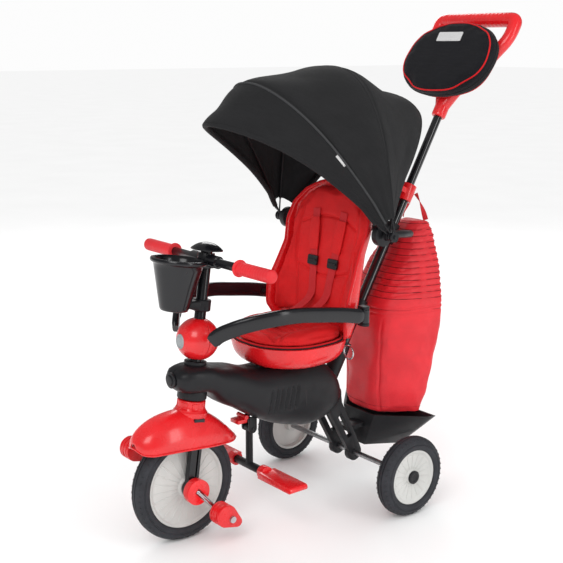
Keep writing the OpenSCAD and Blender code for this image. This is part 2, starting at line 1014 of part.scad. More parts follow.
function bow_line(i) = [for (k = [0 : bow_steps])
    bow_point(i, mix(4, 176, k / bow_steps))];

module bow(i) {
    line = bow_line(i);
    dir = [0, -cos(bow_angles[i] + 4), sin(bow_angles[i] + 4)];
    placed()
        difference() {
            union() {
                bent_tube(line, bow_r, 8, [0, sin(bow_angles[i]), cos(bow_angles[i])]);
                mirrored_pair()
                    translate([canopy_x + bow_x(i) - bow_disc_t / 2, canopy_y, canopy_z])
                        x_rod(0, bow_disc_t, 11);
                mirrored_pair()
                    rod([canopy_x + bow_x(i), canopy_y, canopy_z] + 8 * dir,
                        [for (q = line[0]) q], bow_disc_t / 2 - 0.2);
            }
            translate([0, canopy_y, canopy_z]) {
                x_rod(canopy_x, canopy_x + 60, hinge_pin_r + fit);
                x_rod(-canopy_x - 60, -canopy_x, hinge_pin_r + fit);
            }
        }
}

module canopy_bow_front() {
    color(charcoal)
        bow(0);
}

module canopy_bow_second() {
    color(charcoal)
        bow(1);
}

module canopy_bow_third() {
    color(charcoal)
        bow(2);
}

module canopy_bow_rear() {
    color(charcoal)
        bow(3);
}

// Cloth over the bows: between two bows it hangs a little hollow
cloth_clear = 6.4;
cloth_parts = 3;
cloth_sag = 10;

function cloth_point(i, t, a, out) = let (
    p = bow_point(i, a), q = bow_point(i + 1, a), m = mix(p, q, t),
    d = m - [0, canopy_y, canopy_z], l = norm(d), full = mix(norm(p - [0, canopy_y, canopy_z]),
        norm(q - [0, canopy_y, canopy_z]), t))
    [0, canopy_y, canopy_z] + d / l * (full - cloth_sag * 4 * t * (1 - t) + out);

function cloth_ring(a) = let (
    outer = [for (i = [0 : 2], k = [0 : cloth_parts - (i == 2 ? 0 : 1)])
        cloth_point(i, k / cloth_parts, a, bow_r + cloth_clear + cloth_t)],
    inner = [for (i = [0 : 2], k = [0 : cloth_parts - (i == 2 ? 0 : 1)])
        cloth_point(i, k / cloth_parts, a, bow_r + cloth_clear)])
    concat(outer, flip(inner));

module canopy_cloth() {
    color(charcoal)
        placed()
            loft_strip([for (k = [1 : bow_steps - 1])
                cloth_ring(mix(4, 176, k / bow_steps))]);
}

// ---- front end ----

// Crown, column and two slotted legs
module fork() {
    leg_y = [-13, 12];
    slot_y = [2, 6];
    color(black)
        steered()
            difference() {
                union() {
                    translate([0, 0, crown_s])
                        cylinder(h = column_top_s - crown_s, r = column_r);
                    translate([-leg_out_x, leg_y[0], crown_s])
                        cube([2 * leg_out_x, leg_y[1] - leg_y[0], crown_h]);
                    mirrored_pair() {
                        translate([leg_in_x, leg_y[0], 0])
                            cube([fork_leg_t, leg_y[1] - leg_y[0], crown_s + 1]);
                        x_rod(leg_in_x, leg_out_x, boss_r);
                    }
                }
                mirrored_pair()
                    translate([leg_in_x - 1, slot_y[0], boss_r + 8])
                        cube([fork_leg_t + 2, slot_y[1] - slot_y[0], crown_s - boss_r - 20]);
                x_rod(-60, 60, crank_axle_r + fit);
            }
}

// Stations of the fender, front to back: y from the axle, edge, crest, half width
fender_stations = [
    [-117, 226, 236, 10], [-110, 219, 250, 27], [-94, 216, 264, 39], [-70, 216, 276, 46],
    [-35, 215, 284, 50], [5, 212, 285, 51], [45, 208, 276, 50], [80, 205, 254, 45],
    [108, 202, 228, 34], [128, 200, 208, 14]];
fender_steps = 12;
fender_wall = 3;

function fender_ring(s) = let (
    outer = [for (i = [0 : fender_steps])
        let (p = superellipse(180 * i / fender_steps, s[3], s[2] - s[1], 2.2))
        [p.x, s[0], s[1] + p.y]],
    inner = [for (i = [0 : fender_steps])
        let (p = superellipse(180 * i / fender_steps, s[3] - fender_wall,
            s[2] - s[1] - fender_wall, 2.2)) [p.x, s[0], s[1] + p.y]])
    concat(outer, flip(inner));

module fender() {
    color(red)
        difference() {
            union() {
                placed()
                    translate([0, -wheelbase, 0])
                        loft_strip([for (s = fender_stations) fender_ring(s)]);
                steered()
                    translate([0, 0, crown_s + crown_h])
                        cylinder(h = collar_s - crown_s - crown_h, r = 30);
            }
            steered()
                cylinder(h = 300, r = column_r);
            steered()
                translate([-leg_out_x - gap, -15, crown_s - 30])
                    cube([2 * leg_out_x + 2 * gap, 30, 30 + crown_h]);
        }
}

// Round cover on the column, in a front and a rear shell
module ball_half(front) {
    cut = 2 * ball_r;
    steered()
        difference() {
            translate([0, 0, ball_s])
                sphere(r = ball_r);
            translate([0, 0, ball_s])
                sphere(r = ball_r - 4);
            translate([0, 0, ball_s - cut])
                cylinder(h = 2 * cut, r = column_r);
            translate([-cut, front ? 0 : -2 * cut, ball_s - cut])
                cube([2 * cut, 2 * cut, 2 * cut]);
            translate([-cut, -cut, ball_s - cut])
                cube([2 * cut, 2 * cut, cut - ball_r + 5]);
        }
}

module ball_cover_front() {
    color(red)
        ball_half(true);
    color(steel)
        steered()
            translate([0, 0, ball_s])
                rotate([96, 0, 0])
                    translate([0, 0, ball_r - 3])
                        cylinder(h = 5, r = 15);
}

module ball_cover_rear() {
    color(red)
        ball_half(false);
}

// Cup holder with its bracket down to the column
cup_wall = 3;
cup_floor_r = 30;
cup_centre = [0, -66];
cup_floor_s = 372;

module cup_holder() {
    rim_t = 7;
    color(black)
        steered()
            union() {
                difference() {
                    translate([cup_centre.x, cup_centre.y, cup_floor_s])
                        rotate_extrude()
                            polygon([
                                [0, 0], [cup_floor_r, 0], [cup_r - rim_t, cup_h - rim_t],
                                [cup_r, cup_h - rim_t], [cup_r, cup_h],
                                [cup_r - rim_t - cup_wall, cup_h],
                                [cup_floor_r - cup_wall, cup_wall], [0, cup_wall]]);
                    translate([0, 0, cup_floor_s + 30])
                        cylinder(h = cup_h, r = stem_r + gap);
                }
                difference() {
                    union() {
                        translate([0, 0, cup_floor_s - 6])
                            cylinder(h = 22, r = column_r + 5);
                        translate([-9, cup_centre.y, cup_floor_s - 6])
                            cube([18, -cup_centre.y, 7]);
                    }
                    translate([0, 0, cup_floor_s - 20])
                        cylinder(h = 60, r = column_r);
                }
            }
}

bar_r = 9;

module handlebar_tube() {
    color(black)
        steered()
            difference() {
                union() {
                    translate([0, 0, bar_s])
                        x_rod(-bar_w / 2 + 4, bar_w / 2 - 4, bar_r);
                    translate([0, 0, bar_s])
                        x_rod(-46, 46, bar_r + 4);
                    translate([0, 0, bar_s - 16])
                        cylinder(h = 30, r = stem_r);
                }
                translate([0, 0, bar_s - 60])
                    cylinder(h = 60 + column_top_s - bar_s, r = column_r);
            }
}

// Domed pad on the middle of the handlebar
module handlebar_cap() {
    color(black)
        steered()
            translate([0, 0, bar_s + 20.5])
                intersection() {
                    translate([0, 0, -30])
                        sphere(r = 46);
                    cylinder(h = 30, r = 34);
                }
}

module bar_grips() {
    color(red)
        steered()
            translate([0, 0, bar_s])
                mirrored_pair()
                    difference() {
                        union() {
                            x_rod(bar_w / 2 - grip_len, bar_w / 2, grip_r);
                            x_rod(bar_w / 2 - grip_len, bar_w / 2 - grip_len + 4, grip_r + 4);
                        }
                        x_rod(bar_w / 2 - grip_len - 1, bar_w / 2 - 4, bar_r);
                    }
}

module at_front_axle() {
    placed()
        translate([0, -wheelbase, front_r])
            children();
}

module front_tyre() {
    color(black)
        at_front_axle()
            tyre(front_r, front_rim_r, front_tyre_w);
}

module front_rim() {
    color(pale)
        at_front_axle()
            rim(front_rim_r, front_tyre_w, crank_axle_r + fit, hub_disc_r,
                front_tyre_w / 2 + 3);
}

// Axle with an arm and a pedal spindle at each end
module crank() {
    color(steel)
        at_front_axle() {
            x_rod(-arm_x, arm_x, crank_axle_r);
            for (side = [-1, 1])
                scale([side, side, side]) {
                    rod([arm_x, 0, 0], [arm_x, pedal_pos.x, pedal_pos.y], arm_r);
                    for (bend = [[0, 0], pedal_pos])
                        translate([arm_x, bend.x, bend.y])
                            sphere(r = knuckle_r);
                    translate([0, pedal_pos.x, pedal_pos.y]) {
                        x_rod(arm_x, pedal_in_x + pedal_w + 1, spindle_r);
                        x_rod(pedal_in_x + pedal_w + 1, pedal_in_x + pedal_w + 4, 7);
                    }
                }
        }
}

// Round pad on the spindle with a tongue that hangs behind it
module pedal() {
    tread_r = 24;
    tail_r = 11;
    rotate([90, 0, 90])
        difference() {
            linear_extrude(pedal_w)
                union() {
                    translate([-15, 0])
                        circle(r = tread_r);
                    translate([-15, -tail_r])
                        square([44, 2 * tail_r]);
                    translate([29, 0])
                        circle(r = tail_r);
                }
            translate([0, 0, -1])
                cylinder(h = pedal_w + 2, r = spindle_r + fit);
        }
}

pedal_tilt = -36;

module at_pedal(side) {
    at_front_axle()
        translate([side * (pedal_in_x + pedal_w / 2), side * pedal_pos.x, side * pedal_pos.y])
            rotate([pedal_tilt, 0, 0])
                translate([-pedal_w / 2, 0, 0])
                    children();
}

module pedal_left() {
    color(red)
        at_pedal(1)
            pedal();
}

module pedal_right() {
    color(red)
        at_pedal(-1)
            pedal();
}

// Round caps over the crank's bends; each is slotted so that the arm passes out
module clutch_caps() {
    color(red)
        at_front_axle()
            for (side = [-1, 1])
                scale([side, side, side])
                    difference() {
                        x_rod(cap_in_x, cap_in_x + cap_w, cap_r);
                        x_rod(0, 100, crank_axle_r + fit);
                        rotate([-crank_angle, 0, 0])
                            translate([cap_slot_x, -cap_slot_t / 2, -cap_slot_t / 2])
                                cube([cap_w, cap_r + cap_slot_t, cap_slot_t]);
                    }
}

// ---- footrest ----

foot_pin_r = 4;

// Ears under the body with the pin that the footrest swings on
module footrest_bracket() {
    color(black)
        placed()
            translate([0, foot_y, foot_pivot_z]) {
                x_rod(-ear_in - ear_t - 2, ear_in + ear_t + 2, foot_pin_r);
                mirrored_pair()
                    difference() {
                        union() {
                            x_rod(ear_in, ear_in + ear_t, 10);
                            translate([ear_in, -10, 0])
                                cube([ear_t, 20, ear_rise]);
                        }
                        x_rod(0, 40, foot_pin_r);
                    }
            }
}

module footrest_frame() {
    cross_hw = 62;
    color(black)
        placed()
            translate([0, foot_y, foot_pivot_z])
                difference() {
                    union() {
                        x_rod(-ear_in + 0.6, ear_in - 0.6, 9);
                        translate([0, 0, -foot_len])
                            cylinder(h = foot_len, r = foot_tube_r);
                        translate([0, 0, -foot_len])
                            x_rod(-cross_hw, cross_hw, foot_tube_r + 1);
                    }
                    x_rod(-40, 40, foot_pin_r + fit);
                }
}

// A round clamp on the cross tube and a flat pad for the foot, on each side
module foot_pegs() {
    pad_w = 46;
    pad_t = 13;
    color(red)
        placed()
            translate([0, foot_y, foot_pivot_z - foot_len])
                mirrored_pair()
                    difference() {
                        union() {
                            x_rod(46, 64, 15);
                            translate([60, -pad_w / 2, -pad_t / 2])
                                cube([peg_len - 8, pad_w, pad_t]);
                            translate([60 + peg_len - 8, 0, 0])
                                rotate([90, 0, 0])
                                    cylinder(h = pad_w, r = pad_t / 2, center = true);
                        }
                        x_rod(0, 62, foot_tube_r + 1);
                    }
}

latch_pos = [0, -300, 236];

// Small lever that frees the footrest
module footrest_latch() {
    color(red)
        placed()
            translate(latch_pos)
                union() {
                    x_rod(-16, 16, 5);
                    translate([-14, -22, -12])
                        cube([28, 24, 8]);
                    translate([-10, -3, -9])
                        cube([20, 8, 8]);
                }
}

// ---- nodes ----

body_shell_left();
body_shell_right();
frame_screws();
nose_cap();
head_tube();
head_bushes();
backbone_tube();
axle_carriers();
rear_axle();
storage_tray();
storage_bag();
bag_straps();
seat_pan();
seat_back();
seat_pad();
back_pad();
harness();
crotch_post();
pull_ring();
pole_socket();
pole_lower();
pole_sleeve();
pole_clamp();
guard_brackets();
canopy_bracket();
canopy_bow_rear();
footrest_bracket();
fork();
fender();
ball_cover_front();
ball_cover_rear();
cup_holder();
handlebar_tube();
handlebar_cap();
bar_grips();
front_tyre();
front_rim();
crank();
pedal_left();
pedal_right();
clutch_caps();
rear_tyre_left();
rear_rim_left();
rear_cap_left();
rear_tyre_right();
rear_rim_right();
rear_cap_right();
footrest_frame();
foot_pegs();
footrest_latch();
guard_left();
guard_right();
canopy_bow_front();
canopy_bow_second();
canopy_bow_third();
canopy_cloth();
pole_upper();
clamp_lever();
push_handle();
pouch();
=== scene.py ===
"""Children's tricycle: finished shapes and finishes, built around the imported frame."""

import json
import math

import bmesh
import bpy
import numpy as np
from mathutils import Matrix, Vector
from mathutils.bvhtree import BVHTree

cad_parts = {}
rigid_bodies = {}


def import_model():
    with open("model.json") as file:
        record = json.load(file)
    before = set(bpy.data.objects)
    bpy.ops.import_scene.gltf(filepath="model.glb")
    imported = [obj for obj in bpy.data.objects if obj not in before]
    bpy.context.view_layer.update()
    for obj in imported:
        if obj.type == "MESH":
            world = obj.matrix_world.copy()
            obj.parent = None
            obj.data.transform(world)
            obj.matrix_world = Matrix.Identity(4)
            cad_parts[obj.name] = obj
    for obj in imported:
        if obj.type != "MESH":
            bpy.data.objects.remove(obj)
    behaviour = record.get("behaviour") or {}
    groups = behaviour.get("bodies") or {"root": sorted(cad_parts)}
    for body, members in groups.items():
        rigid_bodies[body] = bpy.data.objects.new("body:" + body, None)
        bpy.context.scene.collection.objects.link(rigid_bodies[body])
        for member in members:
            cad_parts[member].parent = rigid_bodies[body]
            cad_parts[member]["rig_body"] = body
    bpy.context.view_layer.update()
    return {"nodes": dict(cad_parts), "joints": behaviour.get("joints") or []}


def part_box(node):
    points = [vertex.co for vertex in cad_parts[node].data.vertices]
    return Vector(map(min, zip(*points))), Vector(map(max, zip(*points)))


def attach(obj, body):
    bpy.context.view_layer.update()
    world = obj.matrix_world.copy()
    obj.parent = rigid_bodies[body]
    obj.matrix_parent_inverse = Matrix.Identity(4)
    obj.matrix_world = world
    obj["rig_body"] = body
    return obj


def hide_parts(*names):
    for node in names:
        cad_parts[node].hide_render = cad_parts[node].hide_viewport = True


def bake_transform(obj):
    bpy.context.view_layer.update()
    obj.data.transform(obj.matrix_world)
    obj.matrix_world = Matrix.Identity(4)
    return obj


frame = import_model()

# ---- places, taken from the frame ----

MM = 0.001
X = Vector((1, 0, 0))
JOINTS = {joint["name"]: joint for joint in frame["joints"]}


def middle(node):
    low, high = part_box(node)
    return (low + high) / 2


class Place:
    """A spot to build from: millimetres across to the left, back, and up along its own axis."""

    def __init__(self, origin, up=(0, 0, 1)):
        self.origin = Vector(origin)
        self.up = Vector(up).normalized()
        self.back = self.up.cross(X)

    def __call__(self, x, y, z):
        return self.origin + MM * (float(x) * X + float(y) * self.back + float(z) * self.up)


GROUND = Place((0, middle("rear_axle").y, 0))
AXLE_BACK = GROUND.origin.y / MM
FRONT = Place(middle("front_tyre"))
COLUMN = Place(middle("front_tyre"), JOINTS["steer"]["axis"])
POLE_UP = -Vector(JOINTS["pole_slide"]["axis"]).normalized()
SLEEVE_ALONG = 92
POLE = Place(middle("pole_sleeve") - SLEEVE_ALONG * MM * POLE_UP, POLE_UP)
BACK_LEAN = math.radians(10)
BACK_FOOT, BACK_TOP = 399.5, 728
BACK_H = (BACK_TOP - BACK_FOOT) / math.cos(BACK_LEAN)
BACK = Place(GROUND(0, -92, BACK_FOOT), (0, math.sin(BACK_LEAN), math.cos(BACK_LEAN)))
BACK.origin = BACK(0, 20, 0)

# ---- nodes ----


class Nodes:
    """Adds nodes to a tree: keywords are settings, and the dictionary gives the sockets."""

    def __init__(self, tree):
        self.tree = tree

    def add(self, kind, sockets=None, **settings):
        node = self.tree.nodes.new(kind)
        for key, value in settings.items():
            setattr(node, key, value)
        for key, value in (sockets or {}).items():
            if isinstance(value, bpy.types.NodeSocket):
                self.tree.links.new(value, node.inputs[key])
            else:
                node.inputs[key].default_value = value
        return node

    def math(self, operation, a, b=0.0):
        return self.add("ShaderNodeMath", {0: a, 1: b}, operation=operation).outputs[0]


# ---- finishes ----


class Finish(Nodes):
    """A material under way. Pattern sizes are in millimetres."""

    def __init__(self, name, slot, on_cloth=False, **shader):
        self.material = bpy.data.materials.new(name)
        self.material.use_nodes = True
        self.material["slot"] = slot
        super().__init__(self.material.node_tree)
        self.shader = self.tree.nodes["Principled BSDF"]
        for key, value in shader.items():
            self.shader.inputs[key.replace("_", " ")].default_value = value
        place = self.add("ShaderNodeTexCoord")
        self.where = place.outputs["UV" if on_cloth else "Object"]
        self.height = None

    def noise(self, size, detail=2.0, roughness=0.5, stretch=None):
        where = self.where
        if stretch:
            where = self.add("ShaderNodeMapping", {"Vector": where, "Scale": stretch}).outputs[0]
        made = self.add("ShaderNodeTexNoise", {
            "Vector": where, "Scale": 1 / (size * MM), "Detail": detail, "Roughness": roughness})
        return made.outputs["Fac"]

    def between(self, value, low, high, start=0.3, end=0.7):
        return self.add("ShaderNodeMapRange", {
            "Value": value, "From Min": start, "From Max": end,
            "To Min": low, "To Max": high}).outputs[0]

    def colours(self, value, first, second, start=0.3, end=0.7):
        ramp = self.add("ShaderNodeValToRGB", {"Fac": value})
        ramp.color_ramp.elements[0].position = start
        ramp.color_ramp.elements[0].color = (*first, 1)
        ramp.color_ramp.elements[1].position = end
        ramp.color_ramp.elements[1].color = (*second, 1)
        return ramp.outputs["Color"]

    def mixed(self, share, a, b):
        return self.add("ShaderNodeMix", {0: share, 6: a, 7: b}, data_type="RGBA").outputs[2]

    def relief(self, height, distance, strength=1.0):
        sockets = {"Height": height, "Distance": distance * MM, "Strength": strength}
        if self.height is not None:
            sockets["Normal"] = self.height
        self.height = self.add("ShaderNodeBump", sockets).outputs["Normal"]

    def done(self, colour, roughness):
        self.tree.links.new(colour, self.shader.inputs["Base Color"])
        self.tree.links.new(roughness, self.shader.inputs["Roughness"])
        if self.height is not None:
            self.tree.links.new(self.height, self.shader.inputs["Normal"])
        return self.material


def shade(colour, factor):
    return tuple(min(1.0, c * factor) for c in colour)


def moulded(name, slot, colour, roughness, grain=0.03, **shader):
    """Moulded plastic: faint flow marks in the colour, a fine spark-eroded grain."""
    made = Finish(name, slot, **shader)
    flow = made.noise(70, 3.0, stretch=(1, 1, 0.4))
    handled = made.noise(22, 4.0, 0.6)
    made.relief(made.noise(1.1, 2.0), grain)
    made.relief(made.noise(35, 1.0), 0.25, 0.5)
    return made.done(
        made.colours(flow, shade(colour, 0.88), shade(colour, 1.1)),
        made.between(handled, roughness * 0.8, roughness * 1.25))


def rubber(name, slot, colour, roughness):
    """Foam rubber: matt, with a pebbled skin and pale dust in the hollows."""
    made = Finish(name, slot, Specular_IOR_Level=0.35)
    pebbles = made.noise(1.6, 3.0, 0.7)
    dust = made.noise(28, 5.0, 0.65)
    made.relief(pebbles, 0.12)
    made.relief(made.noise(9, 3.0), 0.15)
    return made.done(
        made.colours(dust, colour, shade(colour, 1.7), 0.42, 0.8),
        made.between(pebbles, roughness - 0.08, roughness + 0.1))


def painted(name, slot, colour, roughness):
    """Powder-coated tube: a clear gloss over a very faint orange peel."""
    made = Finish(name, slot, Coat_Weight=0.6, Coat_Roughness=0.06)
    made.relief(made.noise(3.5, 2.0), 0.02)
    return made.done(
        made.colours(made.noise(40, 3.0), shade(colour, 0.85), shade(colour, 1.25)),
        made.between(made.noise(18, 4.0), roughness * 0.8, roughness * 1.3))


def metal(name, slot, colour, roughness):
    """Plated steel with fine drawing lines and a few dull patches."""
    made = Finish(name, slot, Metallic=1.0)
    lines = made.noise(1.2, 3.0, 0.6, stretch=(0.08, 1, 1))
    made.relief(lines, 0.015)
    return made.done(
        made.colours(made.noise(15, 4.0), shade(colour, 0.82), colour),
        made.between(made.noise(9, 4.0), roughness * 0.7, roughness * 1.8))


def woven(name, slot, colour, thread, roughness=0.8, depth=0.12, crease=0.0, **shader):
    """Plain weave on the piece's own map: warp over weft, slubs, soft wear in the tone, and painted
    shade with sunk threads darker and raised ones lighter.
    """
    made = Finish(name, slot, on_cloth=True, **shader)
    plane = made.add("ShaderNodeSeparateXYZ", {0: made.where})
    turns = 2 * math.pi / (thread * MM)
    warp = made.math("SINE", made.math("MULTIPLY", plane.outputs[0], turns))
    weft = made.math("SINE", made.math("MULTIPLY", plane.outputs[1], turns))
    weave = made.math("MULTIPLY", warp, weft)
    slub = made.noise(thread * 6, 3.0, 0.7, stretch=(0.15, 1, 1))
    tone = made.noise(55, 4.0, 0.55)
    lifted = made.between(weave, 0.0, 1.0, -1.0, 1.0)
    made.relief(made.math("ADD", lifted, made.math("MULTIPLY", slub, 0.6)), depth)
    if crease:
        made.relief(made.noise(38, 3.0, 0.55), crease)
    base = made.colours(tone, shade(colour, 0.84), shade(colour, 1.14))
    # painted shade in the weave's hollows and painted highlight on the raised threads, following
    # the thread height
    weave_painted_shade = made.colours(lifted, shade(colour, 0.72), shade(colour, 1.22), 0.2, 0.8)
    return made.done(
        made.mixed(0.35, base, weave_painted_shade),
        made.between(slub, roughness - 0.08, roughness + 0.08))


def webbing(name, slot, colour, rib):
    """Ribbed strap: ridges across its length, with painted shade darkening the hollows between them
    and the ridge tops painted lighter.
    """
    made = Finish(name, slot, on_cloth=True, Specular_IOR_Level=0.2, Sheen_Weight=0.05)
    plane = made.add("ShaderNodeSeparateXYZ", {0: made.where})
    turns = 2 * math.pi / (rib * MM)
    ridge = made.math("SINE", made.math("MULTIPLY", plane.outputs[1], turns))
    made.relief(ridge, 0.15)
    lifted = made.between(ridge, 0.0, 1.0, -1.0, 1.0)
    # painted shade in the hollows between ridges and painted highlight on the ridge tops, following
    # the ridge height
    return made.done(
        made.colours(lifted, shade(colour, 0.75), shade(colour, 1.1), 0.1, 0.9),
        made.between(made.noise(4, 2.0), 0.6, 0.8))


RED = (0.72, 0.010, 0.014)
SATIN_BLACK = moulded("satin_black_plastic", "black_plastic", (0.010, 0.010, 0.012), 0.4, 0.05,
                     Specular_IOR_Level=0.3)
GLOSS_BLACK = moulded("gloss_black_plastic", "gloss_black", (0.006, 0.006, 0.008), 0.22, 0.008,
                      Specular_IOR_Level=0.4, Coat_Weight=0.2, Coat_Roughness=0.08)
RED_PLASTIC = moulded("red_plastic", "red_plastic", RED, 0.26, 0.01,
                      Coat_Weight=0.35, Coat_Roughness=0.12)
DEEP_RED = moulded("deep_red_plastic", "red_plastic", (0.42, 0.006, 0.012), 0.3, 0.01,
                   Coat_Weight=0.3, Coat_Roughness=0.15)
GRIP_RED = moulded("soft_red_grip", "grip_rubber", (0.70, 0.012, 0.02), 0.5, 0.06)
PALE = moulded("pale_plastic", "pale_plastic", (0.56, 0.56, 0.54), 0.42, 0.03)
GREY = moulded("grey_plastic", "pale_plastic", (0.30, 0.32, 0.33), 0.3, 0.02)
TYRE = rubber("tyre_foam", "tyre_rubber", (0.022, 0.023, 0.028), 0.62)
POLE_PAINT = painted("pole_paint", "pole_steel", (0.008, 0.008, 0.010), 0.09)
CHROME = metal("chrome", "bright_steel", (0.62, 0.63, 0.65), 0.14)
STEEL = metal("plain_steel", "plain_steel", (0.40, 0.40, 0.41), 0.32)
SEAT_CLOTH = woven("red_seat_cloth", "red_fabric", (0.66, 0.006, 0.008), 0.9, 0.7, 0.08, 0.5,
                   Specular_IOR_Level=0.3, Sheen_Weight=0.06, Sheen_Tint=(1, 0.4, 0.4, 1))
BAG_CLOTH = woven("red_bag_nylon", "bag_fabric", (0.68, 0.016, 0.026), 0.7, 0.46, 0.05, 0.9,
                  Specular_IOR_Level=0.4, Sheen_Weight=0.12, Sheen_Tint=(1, 0.5, 0.55, 1))
CANOPY_CLOTH = woven("charcoal_canopy_cloth", "black_fabric", (0.014, 0.014, 0.015), 0.8, 0.85,
                     0.14, 0.35, Specular_IOR_Level=0.15, Sheen_Weight=0.04, Sheen_Roughness=0.6)
POUCH_CLOTH = woven("black_pouch_cloth", "black_fabric", (0.006, 0.006, 0.009), 0.9, 0.75, 0.16,
                    0.4, Specular_IOR_Level=0.2, Sheen_Weight=0.04, Sheen_Roughness=0.6)
BLACK_WEBBING = webbing("black_webbing", "black_fabric", (0.014, 0.014, 0.016), 1.4)
RED_WEBBING = webbing("red_webbing", "red_fabric", (0.62, 0.022, 0.028), 1.4)
GREY_CORD = webbing("grey_piping", "black_fabric", (0.045, 0.046, 0.048), 1.2)
RED_CORD = webbing("red_piping", "red_fabric", (0.62, 0.006, 0.010), 1.2)
DARK_THREAD = webbing("dark_red_thread", "red_fabric", (0.20, 0.008, 0.012), 1.0)
WHITE_TAG = webbing("white_tag", "pale_plastic", (0.72, 0.72, 0.72), 0.8)

# ---- shapes ----


def new_piece(name, mesh):
    made = bpy.data.objects.new(name, mesh)
    bpy.context.scene.collection.objects.link(made)
    return made


def put_right(mesh, outward=True):
    """Joins doubled points, drops empty faces and turns a closed skin's faces outwards."""
    work = bmesh.new()
    work.from_mesh(mesh)
    bmesh.ops.remove_doubles(work, verts=work.verts, dist=0.02 * MM)
    bmesh.ops.dissolve_degenerate(work, edges=work.edges, dist=0.01 * MM)
    if outward:
        bmesh.ops.recalc_face_normals(work, faces=work.faces)
    work.to_mesh(mesh)
    work.free()


def skin(name, rows, ring=True, ends=True, flip=False):
    """A surface through rows of points, mapped by its own lengths. Rings are joined up."""
    grid = np.array([[tuple(p) for p in row] for row in rows])
    count, width = grid.shape[:2]
    steps = np.linalg.norm(np.roll(grid, -1, axis=1) - grid, axis=2)
    across = np.hstack([np.zeros((count, 1)), np.cumsum(steps, axis=1)])
    steps = np.linalg.norm(np.diff(grid, axis=0), axis=2)
    along = np.vstack([np.zeros((1, width)), np.cumsum(steps, axis=0)])
    faces, places = [], []
    for j in range(count - 1):
        for i in range(width if ring else width - 1):
            k = (i + 1) % width
            corners = [(j, i, i), (j, k, i + 1), (j + 1, k, i + 1), (j + 1, i, i)]
            if flip:
                corners.reverse()
            faces.append([row * width + column for row, column, _ in corners])
            places += [(across[row, edge], along[row, column]) for row, column, edge in corners]
    if ring and ends:
        for row, order in ((0, range(width - 1, -1, -1)), (count - 1, range(width))):
            faces.append([row * width + i for i in order])
            places += [(grid[row, i, 0], grid[row, i, 2]) for i in order]
    mesh = bpy.data.meshes.new(name)
    mesh.from_pydata(grid.reshape(-1, 3).tolist(), [], faces)
    layer = mesh.uv_layers.new(name="UVMap")
    layer.data.foreach_set("uv", np.array(places, np.float32).ravel())
    put_right(mesh, ring)
    return new_piece(name, mesh)


def curve_through(points, steps):
    """Evenly spaced points of a smooth curve through the given ones."""
    given = np.array([tuple(p) for p in points], float)
    reach = np.linalg.norm(np.diff(given, axis=0), axis=1)
    length = np.concatenate([[0], np.cumsum(reach)])
    slope = np.diff(given, axis=0) / reach[:, None]
    near, far = reach[:-1, None], reach[1:, None]
    inner = (slope[:-1] * far + slope[1:] * near) / (near + far)
    slopes = np.vstack([slope[:1], inner, slope[-1:]])
    at = np.linspace(0, length[-1], steps)
    k = np.clip(np.searchsorted(length, at, side="right") - 1, 0, len(reach) - 1)
    h = reach[k][:, None]
    u = (at - length[k])[:, None] / h
    return ((2 * u**3 - 3 * u**2 + 1) * given[k] + (u**3 - 2 * u**2 + u) * h * slopes[k]
            + (3 * u**2 - 2 * u**3) * given[k + 1] + (u**3 - u**2) * h * slopes[k + 1])


def eased(points, radius, closed=True, steps=4):
    """An outline with each corner rounded."""
    out = []
    count = len(points)
    for i, corner in enumerate(np.array(points, float)):
        if not closed and i in (0, count - 1):
            out.append(tuple(corner.tolist()))
            continue
        before = np.array(points[i - 1], float) - corner
        after = np.array(points[(i + 1) % count], float) - corner
        cut = min(radius, 0.45 * np.linalg.norm(before), 0.45 * np.linalg.norm(after))
        start = corner + before / np.linalg.norm(before) * cut
        end = corner + after / np.linalg.norm(after) * cut
        for t in np.linspace(0, 1, steps):
            bend = (1 - t)**2 * start + 2 * t * (1 - t) * corner + t**2 * end
            out.append(tuple(bend.tolist()))
    return out


def round_angles(count):
    return np.linspace(0, 2 * math.pi, count, endpoint=False)


def squircle(angle, half_width, half_height, power):
    """A spot on a rounded box's outline: the higher the power, the squarer the box."""
    c, s = math.cos(angle), math.sin(angle)
    return (half_width * math.copysign(abs(c) ** (2 / power), c),
            half_height * math.copysign(abs(s) ** (2 / power), s))


def turned(name, place, axis, outline, steps=72, start=0, sweep=360):
    """A lathe piece: the outline gives millimetres along the axis and out from it."""
    axis = Vector(axis).normalized()
    side = axis.cross(Vector((0, 1, 0)) if abs(axis.y) < 0.9 else Vector((0, 0, 1))).normalized()
    up = axis.cross(side)
    whole = sweep == 360
    angles = np.radians(np.linspace(start, start + sweep, steps + 1))
    if whole:
        angles = angles[:-1]
    rows = [[place + MM * (s * axis + r * (math.cos(a) * side + math.sin(a) * up))
             for a in angles] for s, r in outline]
    made = skin(name, rows, ring=whole, ends=False)
    put_right(made.data)
    return made


def along_path(name, path, section, across=None, ends=True):
    """Sweeps a section, a list of (out, up) millimetres for a share of the length, on a path."""
    path = [Vector(p) for p in path]
    rows = []
    for i, point in enumerate(path):
        ahead = (path[min(i + 1, len(path) - 1)] - path[max(i - 1, 0)]).normalized()
        side = Vector(across).normalized() if across else ahead.cross(Vector((0, 0, 1)))
        side = (side - side.dot(ahead) * ahead).normalized()
        up = side.cross(ahead)
        rows.append([point + MM * (a * side + b * up) for a, b in section(i / (len(path) - 1))])
    return skin(name, rows, ends=ends)


def round_section(radius, sides=16):
    return [(radius * math.cos(a), radius * math.sin(a))
            for a in round_angles(sides)]


def flat_section(width, thick, bulge=0.0):
    """A strap's section, with rounded edges."""
    return eased([(-width / 2, -thick / 2), (width / 2, -thick / 2), (width / 2, thick / 2),
                  (0, thick / 2 + bulge), (-width / 2, thick / 2)], thick * 0.45)


def oblong(wide, tall):
    return [(-wide / 2, -tall / 2), (wide / 2, -tall / 2), (wide / 2, tall / 2),
            (-wide / 2, tall / 2)]


